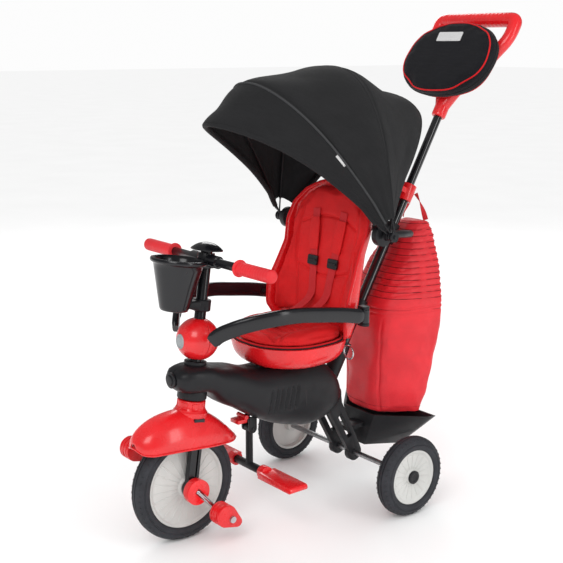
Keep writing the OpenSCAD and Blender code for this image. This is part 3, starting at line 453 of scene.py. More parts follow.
def block(name, corners, height, radius, place, up):
    """A prism with eased corners, drawn on a plane through a place and raised along up."""
    up = Vector(up).normalized()
    side = X if abs(up.x) < 0.9 else Vector((0, 1, 0))
    back = up.cross(side)
    outline = eased(corners, radius)
    centre = np.mean(outline, axis=0)
    rows = []
    for level, inset in ((0, 1), (0, 0), (height, 0), (height, 1)):
        lift = level if not inset else level + (0.5 if level else -0.5)
        rows.append([place + MM * (float(a - inset * 0.5 * np.sign(a - centre[0])) * side
                                   + float(b - inset * 0.5 * np.sign(b - centre[1])) * back
                                   + lift * up) for a, b in outline])
    return skin(name, rows)


def finish(made, body, material, stands_for=(), levels=0, crease=35):
    """Gives a piece its finish, its body (or None, to leave it unattached) and the parts it stands
    for.
    """
    if not made.data.materials:
        made.data.materials.append(material)
    made.data.shade_smooth()
    if levels:
        smooth = made.modifiers.new("Subdivision", "SUBSURF")
        smooth.levels = levels
        smooth.render_levels = levels
    else:
        made.data.set_sharp_from_angle(angle=math.radians(crease))
    if body:
        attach(made, body)
    if stands_for:
        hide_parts(*stands_for)
    return made


def walled(made, thick):
    """Gives a sheet its wall, inwards, in millimetres."""
    wall = made.modifiers.new("Wall", "SOLIDIFY")
    wall.thickness = thick * MM
    wall.offset = -1
    return made


def settled(made):
    """Turns a piece with its modifiers into a plain mesh."""
    graph = bpy.context.evaluated_depsgraph_get()
    mesh = bpy.data.meshes.new_from_object(made.evaluated_get(graph), depsgraph=graph)
    made.modifiers.clear()
    made.data = mesh
    return made


def softened(node, material, radius=1.2, body=None):
    """A copy of a moulded part with its edges rounded, standing for the plain one."""
    source = frame["nodes"][node]
    made = new_piece(node + "_moulding", source.data.copy())
    made.data.materials.clear()
    work = bmesh.new()
    work.from_mesh(made.data)
    bmesh.ops.remove_doubles(work, verts=work.verts, dist=0.01 * MM)
    bmesh.ops.dissolve_limit(work, angle_limit=math.radians(1.5), verts=work.verts,
                             edges=work.edges)
    work.to_mesh(made.data)
    work.free()
    edges = made.modifiers.new("Edges", "BEVEL")
    edges.width = radius * MM
    edges.segments = 2
    edges.limit_method = "ANGLE"
    edges.angle_limit = math.radians(40)
    edges.use_clamp_overlap = True
    edges.harden_normals = False
    settled(made)
    return finish(made, body or source["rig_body"], material, [node], crease=32)


# ---- trees for what repeats ----


def new_tree(name, **inputs):
    """Starts a modifier tree; returns what adds nodes to it, and its inputs by name."""
    tree = bpy.data.node_groups.new(name, "GeometryNodeTree")
    for key, kind in {"Geometry": "Geometry", **inputs, "Finish": "Material"}.items():
        tree.interface.new_socket(key, in_out="INPUT", socket_type="NodeSocket" + kind)
    tree.interface.new_socket("Geometry", in_out="OUTPUT", socket_type="NodeSocketGeometry")
    nodes = Nodes(tree)
    return nodes, nodes.add("NodeGroupInput").outputs


def end_tree(nodes, given, geometry):
    whole = nodes.add("GeometryNodeRealizeInstances", {"Geometry": geometry})
    dressed = nodes.add("GeometryNodeSetMaterial", {
        "Geometry": whole.outputs[0], "Material": given["Finish"]})
    smooth = nodes.add("GeometryNodeSetShadeSmooth", {"Geometry": dressed.outputs[0]})
    nodes.add("NodeGroupOutput", {0: smooth.outputs[0]})
    return nodes.tree


def cord_tree():
    """A round cord along a line."""
    nodes, given = new_tree("cord along a line", Radius="Float", Sides="Int")
    line = nodes.add("GeometryNodeMeshToCurve", {0: given["Geometry"]})
    circle = nodes.add("GeometryNodeCurvePrimitiveCircle", {
        "Resolution": given["Sides"], "Radius": given["Radius"]})
    cord = nodes.add("GeometryNodeCurveToMesh", {
        "Curve": line.outputs[0], "Profile Curve": circle.outputs[0], "Fill Caps": True})
    return end_tree(nodes, given, cord.outputs[0])


def stitch_tree():
    """Stitches along a line: short capsules, one each pitch, turned along it."""
    nodes, given = new_tree("stitches along a line", Pitch="Float", Length="Float",
                            Thickness="Float")
    line = nodes.add("GeometryNodeMeshToCurve", {0: given["Geometry"]})
    spots = nodes.add("GeometryNodeCurveToPoints", {
        "Curve": line.outputs[0], "Length": given["Pitch"]}, mode="LENGTH")
    stitch = nodes.add("GeometryNodeMeshCylinder", {
        "Vertices": 6, "Radius": given["Thickness"], "Depth": given["Length"]})
    placed = nodes.add("GeometryNodeInstanceOnPoints", {
        "Points": spots.outputs["Points"], "Instance": stitch.outputs["Mesh"],
        "Rotation": spots.outputs["Rotation"]})
    return end_tree(nodes, given, placed.outputs[0])


def wheel_tree():
    """Copies of a piece spaced evenly round an axle that runs across."""
    nodes, given = new_tree("copies round an axle", Count="Int", Axle="Vector")
    home = nodes.add("ShaderNodeVectorMath", {0: given["Axle"], 1: (-1, -1, -1)},
                     operation="MULTIPLY")
    centred = nodes.add("GeometryNodeTransform", {
        "Geometry": given["Geometry"], "Translation": home.outputs[0]})
    points = nodes.add("GeometryNodePoints", {"Count": given["Count"]})
    index = nodes.add("GeometryNodeInputIndex")
    share = nodes.math("DIVIDE", index.outputs[0], given["Count"])
    turn = nodes.math("MULTIPLY", share, 2 * math.pi)
    angles = nodes.add("ShaderNodeCombineXYZ", {"X": turn})
    placed = nodes.add("GeometryNodeInstanceOnPoints", {
        "Points": points.outputs[0], "Instance": centred.outputs[0],
        "Rotation": angles.outputs[0]})
    back = nodes.add("GeometryNodeTransform", {
        "Geometry": placed.outputs[0], "Translation": given["Axle"]})
    return end_tree(nodes, given, back.outputs[0])


CORD, STITCHES, ROUND_AXLE = cord_tree(), stitch_tree(), wheel_tree()


def grown(made, tree, material, **inputs):
    """Runs a tree on a piece and keeps the plain mesh that it makes."""
    run = made.modifiers.new(tree.name, "NODES")
    run.node_group = tree
    known = {item.name: item.identifier for item in tree.interface.items_tree
             if item.in_out == "INPUT"}
    for key, value in {**inputs, "Finish": material}.items():
        run[known[key]] = value
    settled(made)
    made.data.materials.clear()
    made.data.materials.append(material)
    return made


def line_of(name, points, closed=False):
    count = len(points)
    edges = [(i, (i + 1) % count) for i in range(count if closed else count - 1)]
    mesh = bpy.data.meshes.new(name)
    mesh.from_pydata([tuple(p) for p in points], edges, [])
    return new_piece(name, mesh)


def cord_piece(name, points, radius, body, material, closed=False, sides=10):
    made = grown(line_of(name, points, closed), CORD, material, Radius=radius * MM, Sides=sides)
    return finish(made, body, material)


def stitch_piece(name, points, body, material, pitch=4.0, length=2.6, closed=False):
    made = grown(line_of(name, points, closed), STITCHES, material, Pitch=pitch * MM,
                 Length=length * MM, Thickness=0.45 * MM)
    return finish(made, body, material)


# ---- wheels ----


def tyre_outline(radius, rim, width):
    """Half is drawn from the rim's edge over a stepped wall to the crown, then mirrored."""
    half = width / 2
    wall = [(half - 3.5, rim), (half - 0.6, rim + 3), (half, rim + 7), (half - 0.3, rim + 11),
            (half - 1.8, rim + 12.2), (half - 1.9, rim + 14.0), (half - 0.9, rim + 15.2),
            (half - 2.0, radius - 9), (half - 5.5, radius - 4.2), (half - 10.5, radius - 1.2),
            (5.2, radius - 0.2), (4.8, radius - 1.8), (3.2, radius - 1.8), (2.8, radius)]
    return wall + [(-x, r) for x, r in reversed(wall)]


def lug(name, radius, width, place):
    """One block of tread on each shoulder."""
    half = width / 2
    rows = []
    for out, step in ((half - 3.6, 1.5), (half - 6.5, 2.0), (half - 11.5, 2.0),
                      (half - 13.5, 1.3)):
        level = radius - 2.2 - 5.2 * max(0.0, (out - half + 11) / 11) ** 2
        rows.append([place(out, -step, level - 2.4), place(out, step, level - 2.4),
                     place(out, step * 0.7, level), place(out, -step * 0.7, level)])
    one = skin(name, rows)
    other = skin(name + "_far", [[Vector((2 * place.origin.x - p.x, p.y, p.z)) for p in row]
                                 for row in rows])
    joined = bmesh.new()
    joined.from_mesh(one.data)
    joined.from_mesh(other.data)
    bmesh.ops.recalc_face_normals(joined, faces=joined.faces)
    joined.to_mesh(one.data)
    joined.free()
    bpy.data.objects.remove(other)
    return one


def wheel(name, place, side, radius, rim, width, bore, hub, out, body, nodes, spokes, lugs):
    """Foam tyre with shoulder lugs, a dished rim and its shallow spokes."""
    tyre_node, rim_node = nodes
    made = turned(name + "_tyre_foam", place.origin, (side, 0, 0),
                  tyre_outline(radius, rim, width), 96)
    put_right(made.data)
    finish(made, body, TYRE, [tyre_node], crease=40)
    treads = grown(lug(name + "_tyre_lugs", radius, width, place), ROUND_AXLE, TYRE,
                   Count=lugs, Axle=place.origin)
    finish(treads, body, TYRE)
    half, disc = width / 2, 3
    dish = eased([(-half, bore), (-half, hub), (-disc, hub), (-disc, rim - 6),
                  (4 - half, rim - 6), (4 - half, rim), (half - 4, rim), (half - 4, rim - 4),
                  (half - 8, rim - 9), (out - 5, hub + 3), (out, hub), (out, bore)], 1.4)
    disc_piece = turned(name + "_rim_disc", place.origin, (side, 0, 0), dish + dish[:1], 96)
    finish(disc_piece, body, PALE, [rim_node], crease=40)
    run = (out - 5 - half + 8) / (rim - 9 - hub - 3)
    rows = []
    for r, half_width in ((hub + 4, 1.0), (hub + 12, 1.3), (rim - 18, 2.2), (rim - 11, 1.6)):
        face = half - 8 + run * (rim - 9 - r)
        rows.append([place(side * (face - 1), -half_width, r), place(side * (face - 1),
                    half_width, r), place(side * (face + 0.9), half_width * 0.5, r),
                     place(side * (face + 0.9), -half_width * 0.5, r)])
    spoke = grown(skin(name + "_rim_spokes", rows), ROUND_AXLE, PALE, Count=spokes,
                  Axle=place.origin)
    finish(spoke, body, PALE)


wheel("front", FRONT, 1, 120, 91, 40, 5.05, 21, 23, "front_wheel",
      ("front_tyre", "front_rim"), 24, 54)
for side, word in ((1, "left"), (-1, "right")):
    spot = Place(middle("rear_tyre_" + word))
    wheel("rear_" + word, spot, side, 90, 62, 38, 6.05, 15, 12, "rear_wheel_" + word,
          ("rear_tyre_" + word, "rear_rim_" + word), 18, 44)
    cap = eased([(12, 0), (12, 15), (17, 15), (17.6, 9), (16.4, 8), (16.4, 0)], 1.2, False)
    made = turned(f"rear_{word}_hub_cap", spot.origin, (side, 0, 0), cap, 40)
    finish(made, "rear_wheel_" + word, SATIN_BLACK, ["rear_cap_" + word])

# ---- body ----

BODY = [
    (-478, 340, 364, 20), (-466, 326, 374, 36), (-440, 319, 379, 43), (-404, 316, 376, 47),
    (-378, 290, 368, 51), (-330, 263, 358, 56), (-290, 238, 345, 59), (-240, 213, 344, 60),
    (-187, 196, 344, 60), (-141, 187, 343, 58), (-98, 192, 330, 54), (-62, 210, 296, 46),
    (-44, 224, 258, 32)]
VENTS = [-268, -254, -240, -226, -212, -198]
VENT_LOW, VENT_HIGH = 248, 300


def vent_depth(y, z):
    """How far the side is pressed in: a row of upright louvres with round ends."""
    deep = 0.0
    for spot in VENTS:
        lean = spot + 0.18 * (z - VENT_LOW)
        beside = max(0.0, 1 - abs(y - lean) / 4.6)
        above = min(1.0, max(0.0, (z - VENT_LOW) / 6), max(0.0, (VENT_HIGH - z) / 6))
        deep = max(deep, 4.2 * min(1.0, beside * 1.8) * above)
    boss = math.hypot(y + 176, z - 262)
    if boss < 10:
        deep -= 2.2 * min(1.0, (10 - boss) / 2)
    if boss < 5.5:
        deep += 5.0 * min(1.0, (5.5 - boss) / 1.2)
    return deep


def body_side(side):
    """One half of the body cover, with its turned-in seam edge."""
    ends = curve_through(BODY, 40)
    fine = np.unique(np.concatenate([ends[:, 0], np.arange(-280, -160, 1.7)]))
    rows = []
    for y in fine:
        low, high, half = (float(np.interp(y, ends[:, 0], ends[:, k])) for k in (1, 2, 3))
        mid, tall = (low + high) / 2, (high - low) / 2
        row = []
        for angle in np.linspace(-math.pi / 2, math.pi / 2, 53):
            a, b = squircle(angle, half, tall, 3.0)
            x = max(0.35, abs(a))
            z = mid + b
            inward = vent_depth(y, z) if a > 0.8 * half else 0.0
            row.append(GROUND(side * (x - inward), y, z))
        first, last = row[0], row[-1]
        row.insert(0, first + Vector((0, 0, 2.4 * MM)))
        row.append(last - Vector((0, 0, 2.4 * MM)))
        rows.append(row)
    nose, tail = GROUND(side * 0.35, -478, 352), GROUND(side * 0.35, -44, 241)
    for spot, position in ((nose, 0), (tail, len(rows))):
        near = rows[0] if position == 0 else rows[-1]
        rows.insert(position, [p * 0.12 + spot * 0.88 for p in near])
    return skin("body_cover_" + ("left" if side > 0 else "right"), rows, ring=False,
                flip=side > 0)


for side, word in ((1, "left"), (-1, "right")):
    finish(walled(body_side(side), 2.4), "frame", SATIN_BLACK, ["body_shell_" + word], crease=50)

for node in ("nose_cap", "axle_carriers", "footrest_bracket", "guard_brackets", "pole_socket",
             "pole_sleeve", "crotch_post", "footrest_frame", "head_bushes", "storage_tray"):
    softened(node, SATIN_BLACK, 1.0)
softened("canopy_bracket", SATIN_BLACK, 1.2)
softened("pole_clamp", RED_PLASTIC, 1.2)
softened("clamp_lever", DEEP_RED, 0.8)
softened("footrest_latch", RED_PLASTIC, 1.2)
softened("foot_pegs", RED_PLASTIC, 2.0)
softened("fork", GLOSS_BLACK, 1.6)
softened("clutch_caps", RED_PLASTIC, 1.6)


def finish_nodes(material, *nodes):
    """Keeps parts as they are and gives them their finish."""
    for node in nodes:
        part = frame["nodes"][node]
        part.data.materials.clear()
        part.data.materials.append(material)


finish_nodes(STEEL, "backbone_tube", "head_tube", "rear_axle", "frame_screws")
finish_nodes(CHROME, "crank", "pull_ring")
finish_nodes(SATIN_BLACK, "canopy_bow_rear", "canopy_bow_front", "canopy_bow_second",
             "canopy_bow_third")

# ---- soft shapes ----


def evenly(points, count):
    """The same line with its points spaced evenly."""
    given = np.array([tuple(p) for p in points], float)
    length = np.concatenate([[0], np.cumsum(np.linalg.norm(np.diff(given, axis=0), axis=1))])
    at = np.linspace(0, length[-1], count)
    return np.column_stack([np.interp(at, length, given[:, k]) for k in range(3)])


def spots_of(made):
    flat = np.empty(len(made.data.vertices) * 3)
    made.data.vertices.foreach_get("co", flat)
    return flat.reshape(-1, 3)


def put_spots(made, spots):
    made.data.vertices.foreach_set("co", np.asarray(spots, float).ravel())
    made.data.update()


def puffed(made, cell, reach, smooth=1):
    """Air pressure rounds a cushion out of its plain block; no spot moves past the reach."""
    even = made.modifiers.new("Even", "REMESH")
    even.mode = "VOXEL"
    even.voxel_size = cell * MM
    settled(made)
    start = spots_of(made)
    cloth = made.modifiers.new("Cloth", "CLOTH")
    cloth.settings.use_pressure = True
    cloth.settings.uniform_pressure_force = 4
    cloth.settings.effector_weights.gravity = 0
    for step in range(1, 21):
        bpy.context.scene.frame_set(step)
    settled(made)
    bpy.context.scene.frame_set(1)
    move = spots_of(made) - start
    far = np.linalg.norm(move, axis=1, keepdims=True)
    put_spots(made, start + move * np.minimum(1, reach * MM / np.maximum(far, 1e-9)))
    work = bmesh.new()
    work.from_mesh(made.data)
    for _ in range(smooth):
        bmesh.ops.smooth_vert(work, verts=work.verts, factor=0.5, use_axis_x=True,
                              use_axis_y=True, use_axis_z=True)
    work.to_mesh(made.data)
    work.free()
    finer = made.modifiers.new("Finer", "SUBSURF")
    finer.levels = finer.render_levels = 1
    return settled(made)


def facing(made):
    """Each spot's outward direction."""
    made.data.update()
    flat = np.empty(len(made.data.vertices) * 3)
    made.data.vertex_normals.foreach_get("vector", flat)
    return flat.reshape(-1, 3)


def pressed(made, depth):
    """Presses seams in: depth gives millimetres inwards for the spots and their directions."""
    spots, out = spots_of(made), facing(made)
    put_spots(made, spots - out * (depth(spots / MM, out) * MM)[:, None])
    return made


def groove(distance, half_width):
    return np.exp(-(distance / half_width) ** 2)


def mapped(made):
    """Maps a cushion from its nearest side, in metres, so the weave keeps its size."""
    layer = made.data.uv_layers.get("UVMap") or made.data.uv_layers.new(name="UVMap")
    spots = spots_of(made)
    places = np.empty((len(made.data.loops), 2), np.float32)
    for face in made.data.polygons:
        n = [abs(c) for c in face.normal]
        a, b = ((1, 2), (0, 2), (0, 1))[n.index(max(n))]
        for loop in face.loop_indices:
            spot = spots[made.data.loops[loop].vertex_index]
            places[loop] = (spot[a], spot[b])
    layer.data.foreach_set("uv", places.ravel())
    return made


def surface_of(made):
    return BVHTree.FromPolygons([v.co for v in made.data.vertices],
                                [p.vertices for p in made.data.polygons])


def laid_on(points, made, towards, lift):
    """Drops a line onto a piece from in front and lifts it off by a hair."""
    surface = surface_of(made)
    towards = Vector(towards).normalized()
    out = []
    for point in points:
        point = Vector(point)
        hit = surface.ray_cast(point - 120 * MM * towards, towards)[0]
        out.append(hit - lift * MM * towards if hit else point)
    for _ in range(2):
        out = [out[0]] + [(out[i - 1] + 2 * out[i] + out[i + 1]) / 4
                          for i in range(1, len(out) - 1)] + [out[-1]]
    return out


def ringed(made, ring, lift):
    """Draws a level ring in towards its middle until it lies on a piece."""
    middle_spot = sum(ring, Vector()) / len(ring)
    surface = surface_of(made)
    out = []
    for spot in ring:
        inward = (middle_spot - spot).normalized()
        hit = surface.ray_cast(spot - 30 * MM * inward, inward)[0]
        out.append(hit - lift * MM * inward if hit else spot)
    count = len(out)
    for _ in range(5):
        out = [(out[i - 1] + 2 * out[i] + out[(i + 1) % count]) / 4 for i in range(count)]
    return out


# ---- steering ----

FENDER = [(-117, 226, 236, 10), (-110, 219, 250, 27), (-94, 216, 264, 39), (-70, 216, 276, 46),
          (-35, 215, 284, 50), (5, 212, 285, 51), (45, 208, 276, 50), (80, 205, 254, 45),
          (108, 202, 228, 34), (128, 200, 208, 14)]
TYRE_TOP = 120
COLLAR_OUT = 30
WINDOWS = [-76, -26, 26, 76]


def fender():
    """Domed guard over the front wheel, with a rolled lip."""
    rows, lip_left, lip_right = [], [], []
    for y, edge, crest, half in curve_through(FENDER, 64):
        row = []
        for angle in np.linspace(0, math.pi, 49):
            a, b = squircle(angle, half, crest - edge, 2.2)
            row.append(FRONT(a, y, edge - TYRE_TOP + b))
        rows.append(row)
        lip_left.append(row[0])
        lip_right.append(row[-1])
    finish(walled(skin("fender_shell", rows, ring=False, flip=True), 2.6), "steering",
           RED_PLASTIC, ["fender"], crease=60)
    rim = lip_left + lip_right[::-1]
    cord_piece("fender_lip", rim, 1.9, "steering", RED_PLASTIC, closed=True)


def collar():
    """Round tower on the fender, with small windows pressed in round it."""
    outer = [(150, 36), (160, 36)] + [(s, COLLAR_OUT + 6 * ((172 - s) / 12) ** 2)
                                      for s in np.arange(161, 172, 1.0)]
    outer += [(s, COLLAR_OUT) for s in np.arange(172, 182.5, 0.75)]
    outer += [(183.2, COLLAR_OUT - 0.5), (184, COLLAR_OUT - 1.8), (184, 13), (150, 13), (150, 36)]
    rows = []
    for s, r in outer:
        row = []
        for angle in np.linspace(-180, 180, 180, endpoint=False):
            near = min(abs(angle - w) for w in WINDOWS)
            beside = min(1.0, max(0.0, (15 - near) / 2.5))
            above = min(1.0, max(0.0, (s - 165) / 2), max(0.0, (181 - s) / 2))
            out = r - (3.0 * beside * above if r > 20 else 0)
            a = math.radians(angle)
            row.append(COLUMN(out * math.sin(a), -out * math.cos(a), s))
        rows.append(row)
    made = skin("fender_collar", rows, ends=False)
    put_right(made.data)
    finish(made, "steering", RED_PLASTIC, crease=40)


fender()
collar()

BALL_S, BALL_R = 312, 45


def ball():
    """Ball round the column, in two halves with a fine seam, and a blank badge in front."""
    arc = [(BALL_S + BALL_R * math.sin(t), BALL_R * math.cos(t))
           for t in np.radians(np.linspace(-62, 72, 40))]
    arc = [(arc[0][0] - 0.2, arc[0][1] - 1.5)] + arc + [(arc[-1][0] + 0.2, arc[-1][1] - 1.5)]
    for word, start in (("front", 0.6), ("rear", 180.6)):
        made = turned("ball_" + word, COLUMN.origin, COLUMN.up, arc, 60, start, 178.8)
        finish(walled(made, 2.4), "steering", RED_PLASTIC, ["ball_cover_" + word], crease=50)
    tilt = math.radians(6)
    ahead = COLUMN(0, -math.cos(tilt), -math.sin(tilt)) - COLUMN.origin
    badge = [(BALL_R - 5, 0), (BALL_R - 5, 15.5), (BALL_R - 0.9, 15.5), (BALL_R + 0.2, 14.6),
             (BALL_R + 0.6, 13.4), (BALL_R + 0.2, 12.2), (BALL_R - 0.5, 11.6),
             (BALL_R - 0.5, 11.2), (BALL_R + 0.3, 10.2), (BALL_R + 0.7, 8.4),
             (BALL_R + 0.9, 5), (BALL_R + 1, 0)]
    made = turned("ball_badge", COLUMN(0, 0, BALL_S), ahead, badge, 64)
    for vertex in made.data.vertices:
        vertex.co.x *= 0.86
    finish(made, "steering", GREY, crease=30)


ball()

CUP_BACK, CUP_S, CUP_TALL = -66, 372, 105


def cup():
    """Bucket for a drink, with a thick rolled rim that makes room for the stem."""
    top, stem_from = CUP_S + CUP_TALL, 455
    outline = [(CUP_S + 3, 0.5), (CUP_S + 3, 24), (CUP_S + 6, 27.5)]
    outline += [(s, 27.8 + (s - CUP_S - 8) * 0.225) for s in np.linspace(CUP_S + 8, top - 5, 12)]
    outline += [(top - 2, 50.2), (top + 1, 52), (top + 2, 54.5), (top + 1, 57), (top - 2, 58.4),
                (top - 5.5, 58), (top - 7.5, 56), (top - 8, 53.6)]
    outline += [(s, 31 + (s - CUP_S - 8) * 0.235) for s in np.linspace(top - 10, CUP_S + 6, 12)]
    outline += [(CUP_S + 1.5, 28.5), (CUP_S, 26), (CUP_S, 0.5), (CUP_S + 3, 0.5)]
    rows = []
    for s, r in outline:
        row = []
        for angle in round_angles(96):
            x, back = r * math.cos(angle), CUP_BACK + r * math.sin(angle)
            room = 19 + (59 - r) * 0.3
            near = math.hypot(x, back)
            if s > stem_from and near < room:
                x, back = x * room / near, back * room / near
            row.append(COLUMN(x, back, s))
        rows.append(row)
    made = skin("cup_bucket", rows, ends=False)
    put_right(made.data)
    finish(made, "steering", GLOSS_BLACK, ["cup_holder"], crease=40)
    rows = [[COLUMN(a, back, CUP_S + 12 + b) for a, b in
             (squircle(t, half, tall, 4) for t in round_angles(28))]
            for back, half, tall in ((-42, 13, 7), (-34, 13, 8.5), (-24, 14, 10), (-14, 16, 11.5),
                                     (-2, 16, 11.5))]
    finish(skin("cup_bracket", rows), "steering", SATIN_BLACK, crease=40)
    made = turned("cup_band", COLUMN.origin, COLUMN.up,
                  [(CUP_S, 12.2), (CUP_S, 18.5), (CUP_S + 1.5, 20), (CUP_S + 22, 20),
                   (CUP_S + 24, 18.5), (CUP_S + 24, 12.2), (CUP_S, 12.2)], 64)
    finish(made, "steering", SATIN_BLACK)


cup()

BAR_S = 478


def bar():
    """Handlebar with its dome, and soft ribbed grips with a flange and a rounded end."""
    softened("handlebar_tube", GLOSS_BLACK, 1.0)
    dome_s, dome_r = BAR_S - 9.5, 46
    arc = [(dome_s + dome_r * math.cos(t), dome_r * math.sin(t))
           for t in np.radians(np.linspace(47, 0, 18))]
    skirt = [(497.5, 13.5), (497.5, 32), (498, 33.6)] + [(s + 0.4, r) for s, r in arc[:1]]
    made = turned("bar_dome", COLUMN.origin, COLUMN.up, skirt + arc[1:-1] + [(514.5, 0.3)], 80)
    finish(made, "steering", GLOSS_BLACK, ["handlebar_cap"], crease=40)
    grip = [(115, 9.2), (115, 16), (115.8, 17.4), (118, 17.6), (119.4, 16.4), (120.2, 13.6)]
    for start in range(124, 212, 8):
        grip += [(start, 13.5), (start + 5.2, 13.6), (start + 6, 13.25), (start + 7.2, 13.25)]
    grip += [(213, 13.4), (218, 13.6), (221.5, 12.9), (224, 10.5), (225, 6), (225, 0.3)]
    spot = COLUMN(0, 0, BAR_S)
    for side, word in ((1, "left"), (-1, "right")):
        made = turned("bar_grip_" + word, spot, (side, 0, 0), grip, 56)
        finish(made, "steering", GRIP_RED, ["bar_grips"] if side > 0 else [], crease=40)


bar()

# ---- pedals ----


SPINDLE = (80.8, 57.97, -62.17)
PEDAL_TILT = math.radians(-36)


def tread(name, centre, tilt, body):
    """Foot pad: a drop-shaped slab with ribs across it, and the spindle's metal end."""
    front_r, front_y, tail_r, tail_y = 24, -15, 11, 18
    spread = math.acos((front_r - tail_r) / (tail_y - front_y))
    rows = []
    for x in (-17, -16.4, -15, -12, -11.4, -8.6, -8, -4, -3.4, 3.4, 4, 8, 8.6, 11.4, 12, 15,
              16.4, 17):
        drop = {17: 2.6, 16.4: 0.8}.get(abs(x), 0)
        if 8.6 <= abs(x) <= 11.4 or abs(x) <= 3.4:
            drop = 1.5
        ring = []
        for t in np.linspace(spread, 2 * math.pi - spread, 34):
            ring.append((front_y + (front_r - drop) * math.cos(t), (front_r - drop) * math.sin(t)))
        for t in np.linspace(-spread, spread, 18):
            ring.append((tail_y + (tail_r - drop) * math.cos(t), (tail_r - drop) * math.sin(t)))
        c, s = math.cos(tilt), math.sin(tilt)
        rows.append([centre + MM * Vector((x, y * c - z * s, y * s + z * c)) for y, z in ring])
    finish(skin(name, rows), body, RED_PLASTIC, [body], crease=30)
    cap = [(16, 0.3), (16.5, 7.5), (18, 7.5), (18.6, 6.8), (18.6, 0.3)]
    end = turned(name + "_end", centre, (math.copysign(1, centre.x), 0, 0), cap, 32)
    finish(end, body, STEEL)


for side, word in ((1, "left"), (-1, "right")):
    tread("pedal_tread_" + word, FRONT(*(side * size for size in SPINDLE)), PEDAL_TILT,
          "pedal_" + word)

# ---- guard ring ----

GUARD = [(157, -94, 457), (156, -150, 469), (155, -215, 479), (154, -268, 486), (146, -322, 486),
         (127, -364, 479), (101, -396, 466), (77, -416, 450), (67, -424, 438)]


def guard(side, word):
    """Padded safety arm with its hinge barrel and two rivets."""
    body = "guard_" + word
    path = [GROUND(side * x, y, z) for x, y, z in curve_through(GUARD, 90)]

    def section(share):
        swell = min(1.0, 0.72 + share * 9, 0.80 + (1 - share) * 9)
        return [squircle(t, 8 * swell, 16 * swell, 3.4) for t in round_angles(36)]

    finish(along_path("guard_arm_" + word, path, section), body, GLOSS_BLACK, [body], crease=45)
    barrel = eased([(-15, 4.2), (-15, 9), (15, 9), (15, 4.2)], 1.5, False) + [(-15, 4.2)]
    made = turned("guard_hinge_" + word, GROUND(side * 157, -88, 457), (0, 0, 1), barrel, 40)
    finish(made, body, GLOSS_BLACK)
    for share in (0.10, 0.90):
        spot = path[int(share * 89)]
        ahead = (path[int(share * 89) + 1] - spot).normalized()
        flat = Vector((ahead.x, ahead.y, 0)).normalized()
        out = Vector((-flat.y, flat.x, 0)) * -side
        ring = turned(f"guard_rivet_{word}_{int(share * 100)}", spot + out * 7.2 * MM, out,
                      [(0, 5), (1.4, 4.6), (2.0, 3.2), (2.2, 0.2)], 24)
        finish(ring, body, SATIN_BLACK)


for side, word in ((1, "left"), (-1, "right")):
    guard(side, word)

# ---- seat ----

PAN_MIDDLE, PAN_HALF, PAN_WIDE = -181, 115, 125
SEAT_CHANNELS = range(-278, -151, 21)
SEAT_CELL, BAG_CELL, POUCH_CELL = 4.5, 5, 5


def pan_ring(z, grow, steps=96, limit=None):
    ring = []
    for t in round_angles(steps):
        a, b = squircle(t, PAN_WIDE + grow, PAN_HALF + grow, 3)
        if b < 0:
            a *= 1 - 0.30 * (b / (PAN_HALF + grow)) ** 2
        y = PAN_MIDDLE + b
        if limit:
            share = min(1.0, max(0.0, (y + 158) / 30))
            room = 150 + share * (limit[0] - 150)
            a = math.copysign(min(abs(a), room), a)
            y = min(y, limit[1])
        ring.append(GROUND(a, y, z))
    return ring


PAN_OUTLINE = [(347, -40), (347, -30), (349, -24.5), (354, -17.5), (361, -11), (369, -6.2),
               (379, -3), (388, -1.2), (393.5, -0.3), (395.6, -0.2), (396, -1.2), (396, -5.6),
               (394.5, -6.8), (388, -8)]
finish(skin("seat_bucket", [pan_ring(z, grow) for z, grow in PAN_OUTLINE]), "frame",
       RED_PLASTIC, ["seat_pan"], crease=40)

BACK_STATIONS = np.array([
    (0.00, 118, 40), (0.10, 136, 62), (0.25, 138, 66), (0.40, 132, 52), (0.55, 126, 40),
    (0.70, 134, 36), (0.82, 128, 28), (0.92, 102, 18), (0.98, 66, 10), (1.00, 40, 6)])


def back_line(share, deep, steps=64):
    """From wing to wing round the back, set in front of the shell by a depth."""
    share = min(share, 1.0)
    half, wing = (float(np.interp(share, BACK_STATIONS[:, 0], BACK_STATIONS[:, k]))
                  for k in (1, 2))
    line = []
    for t in np.linspace(0, math.pi, steps + 1):
        a, b = squircle(t, half - deep, wing, 3.4)
        line.append(BACK(a, b - wing - deep * b / wing, share * BACK_H))
    return line


def back_shell():
    shares = np.concatenate([np.linspace(0, 0.9, 40), np.linspace(0.915, 1.0, 12)])
    rows = [back_line(share, 0) for share in shares]
    finish(walled(skin("seat_back_shell", rows, ring=False), 4.6), "frame",
           RED_PLASTIC, ["seat_back"], crease=50)
    edge = rows[0][::8][::-1] + [r[0] for r in rows] + rows[-1][4:-4:4] + [
        r[-1] for r in reversed(rows)]
    edge = evenly(edge[8:], 200)
    cord_piece("seat_back_edge", [Vector(p) for p in edge], 3.0, "frame", RED_CORD, sides=12)


back_shell()


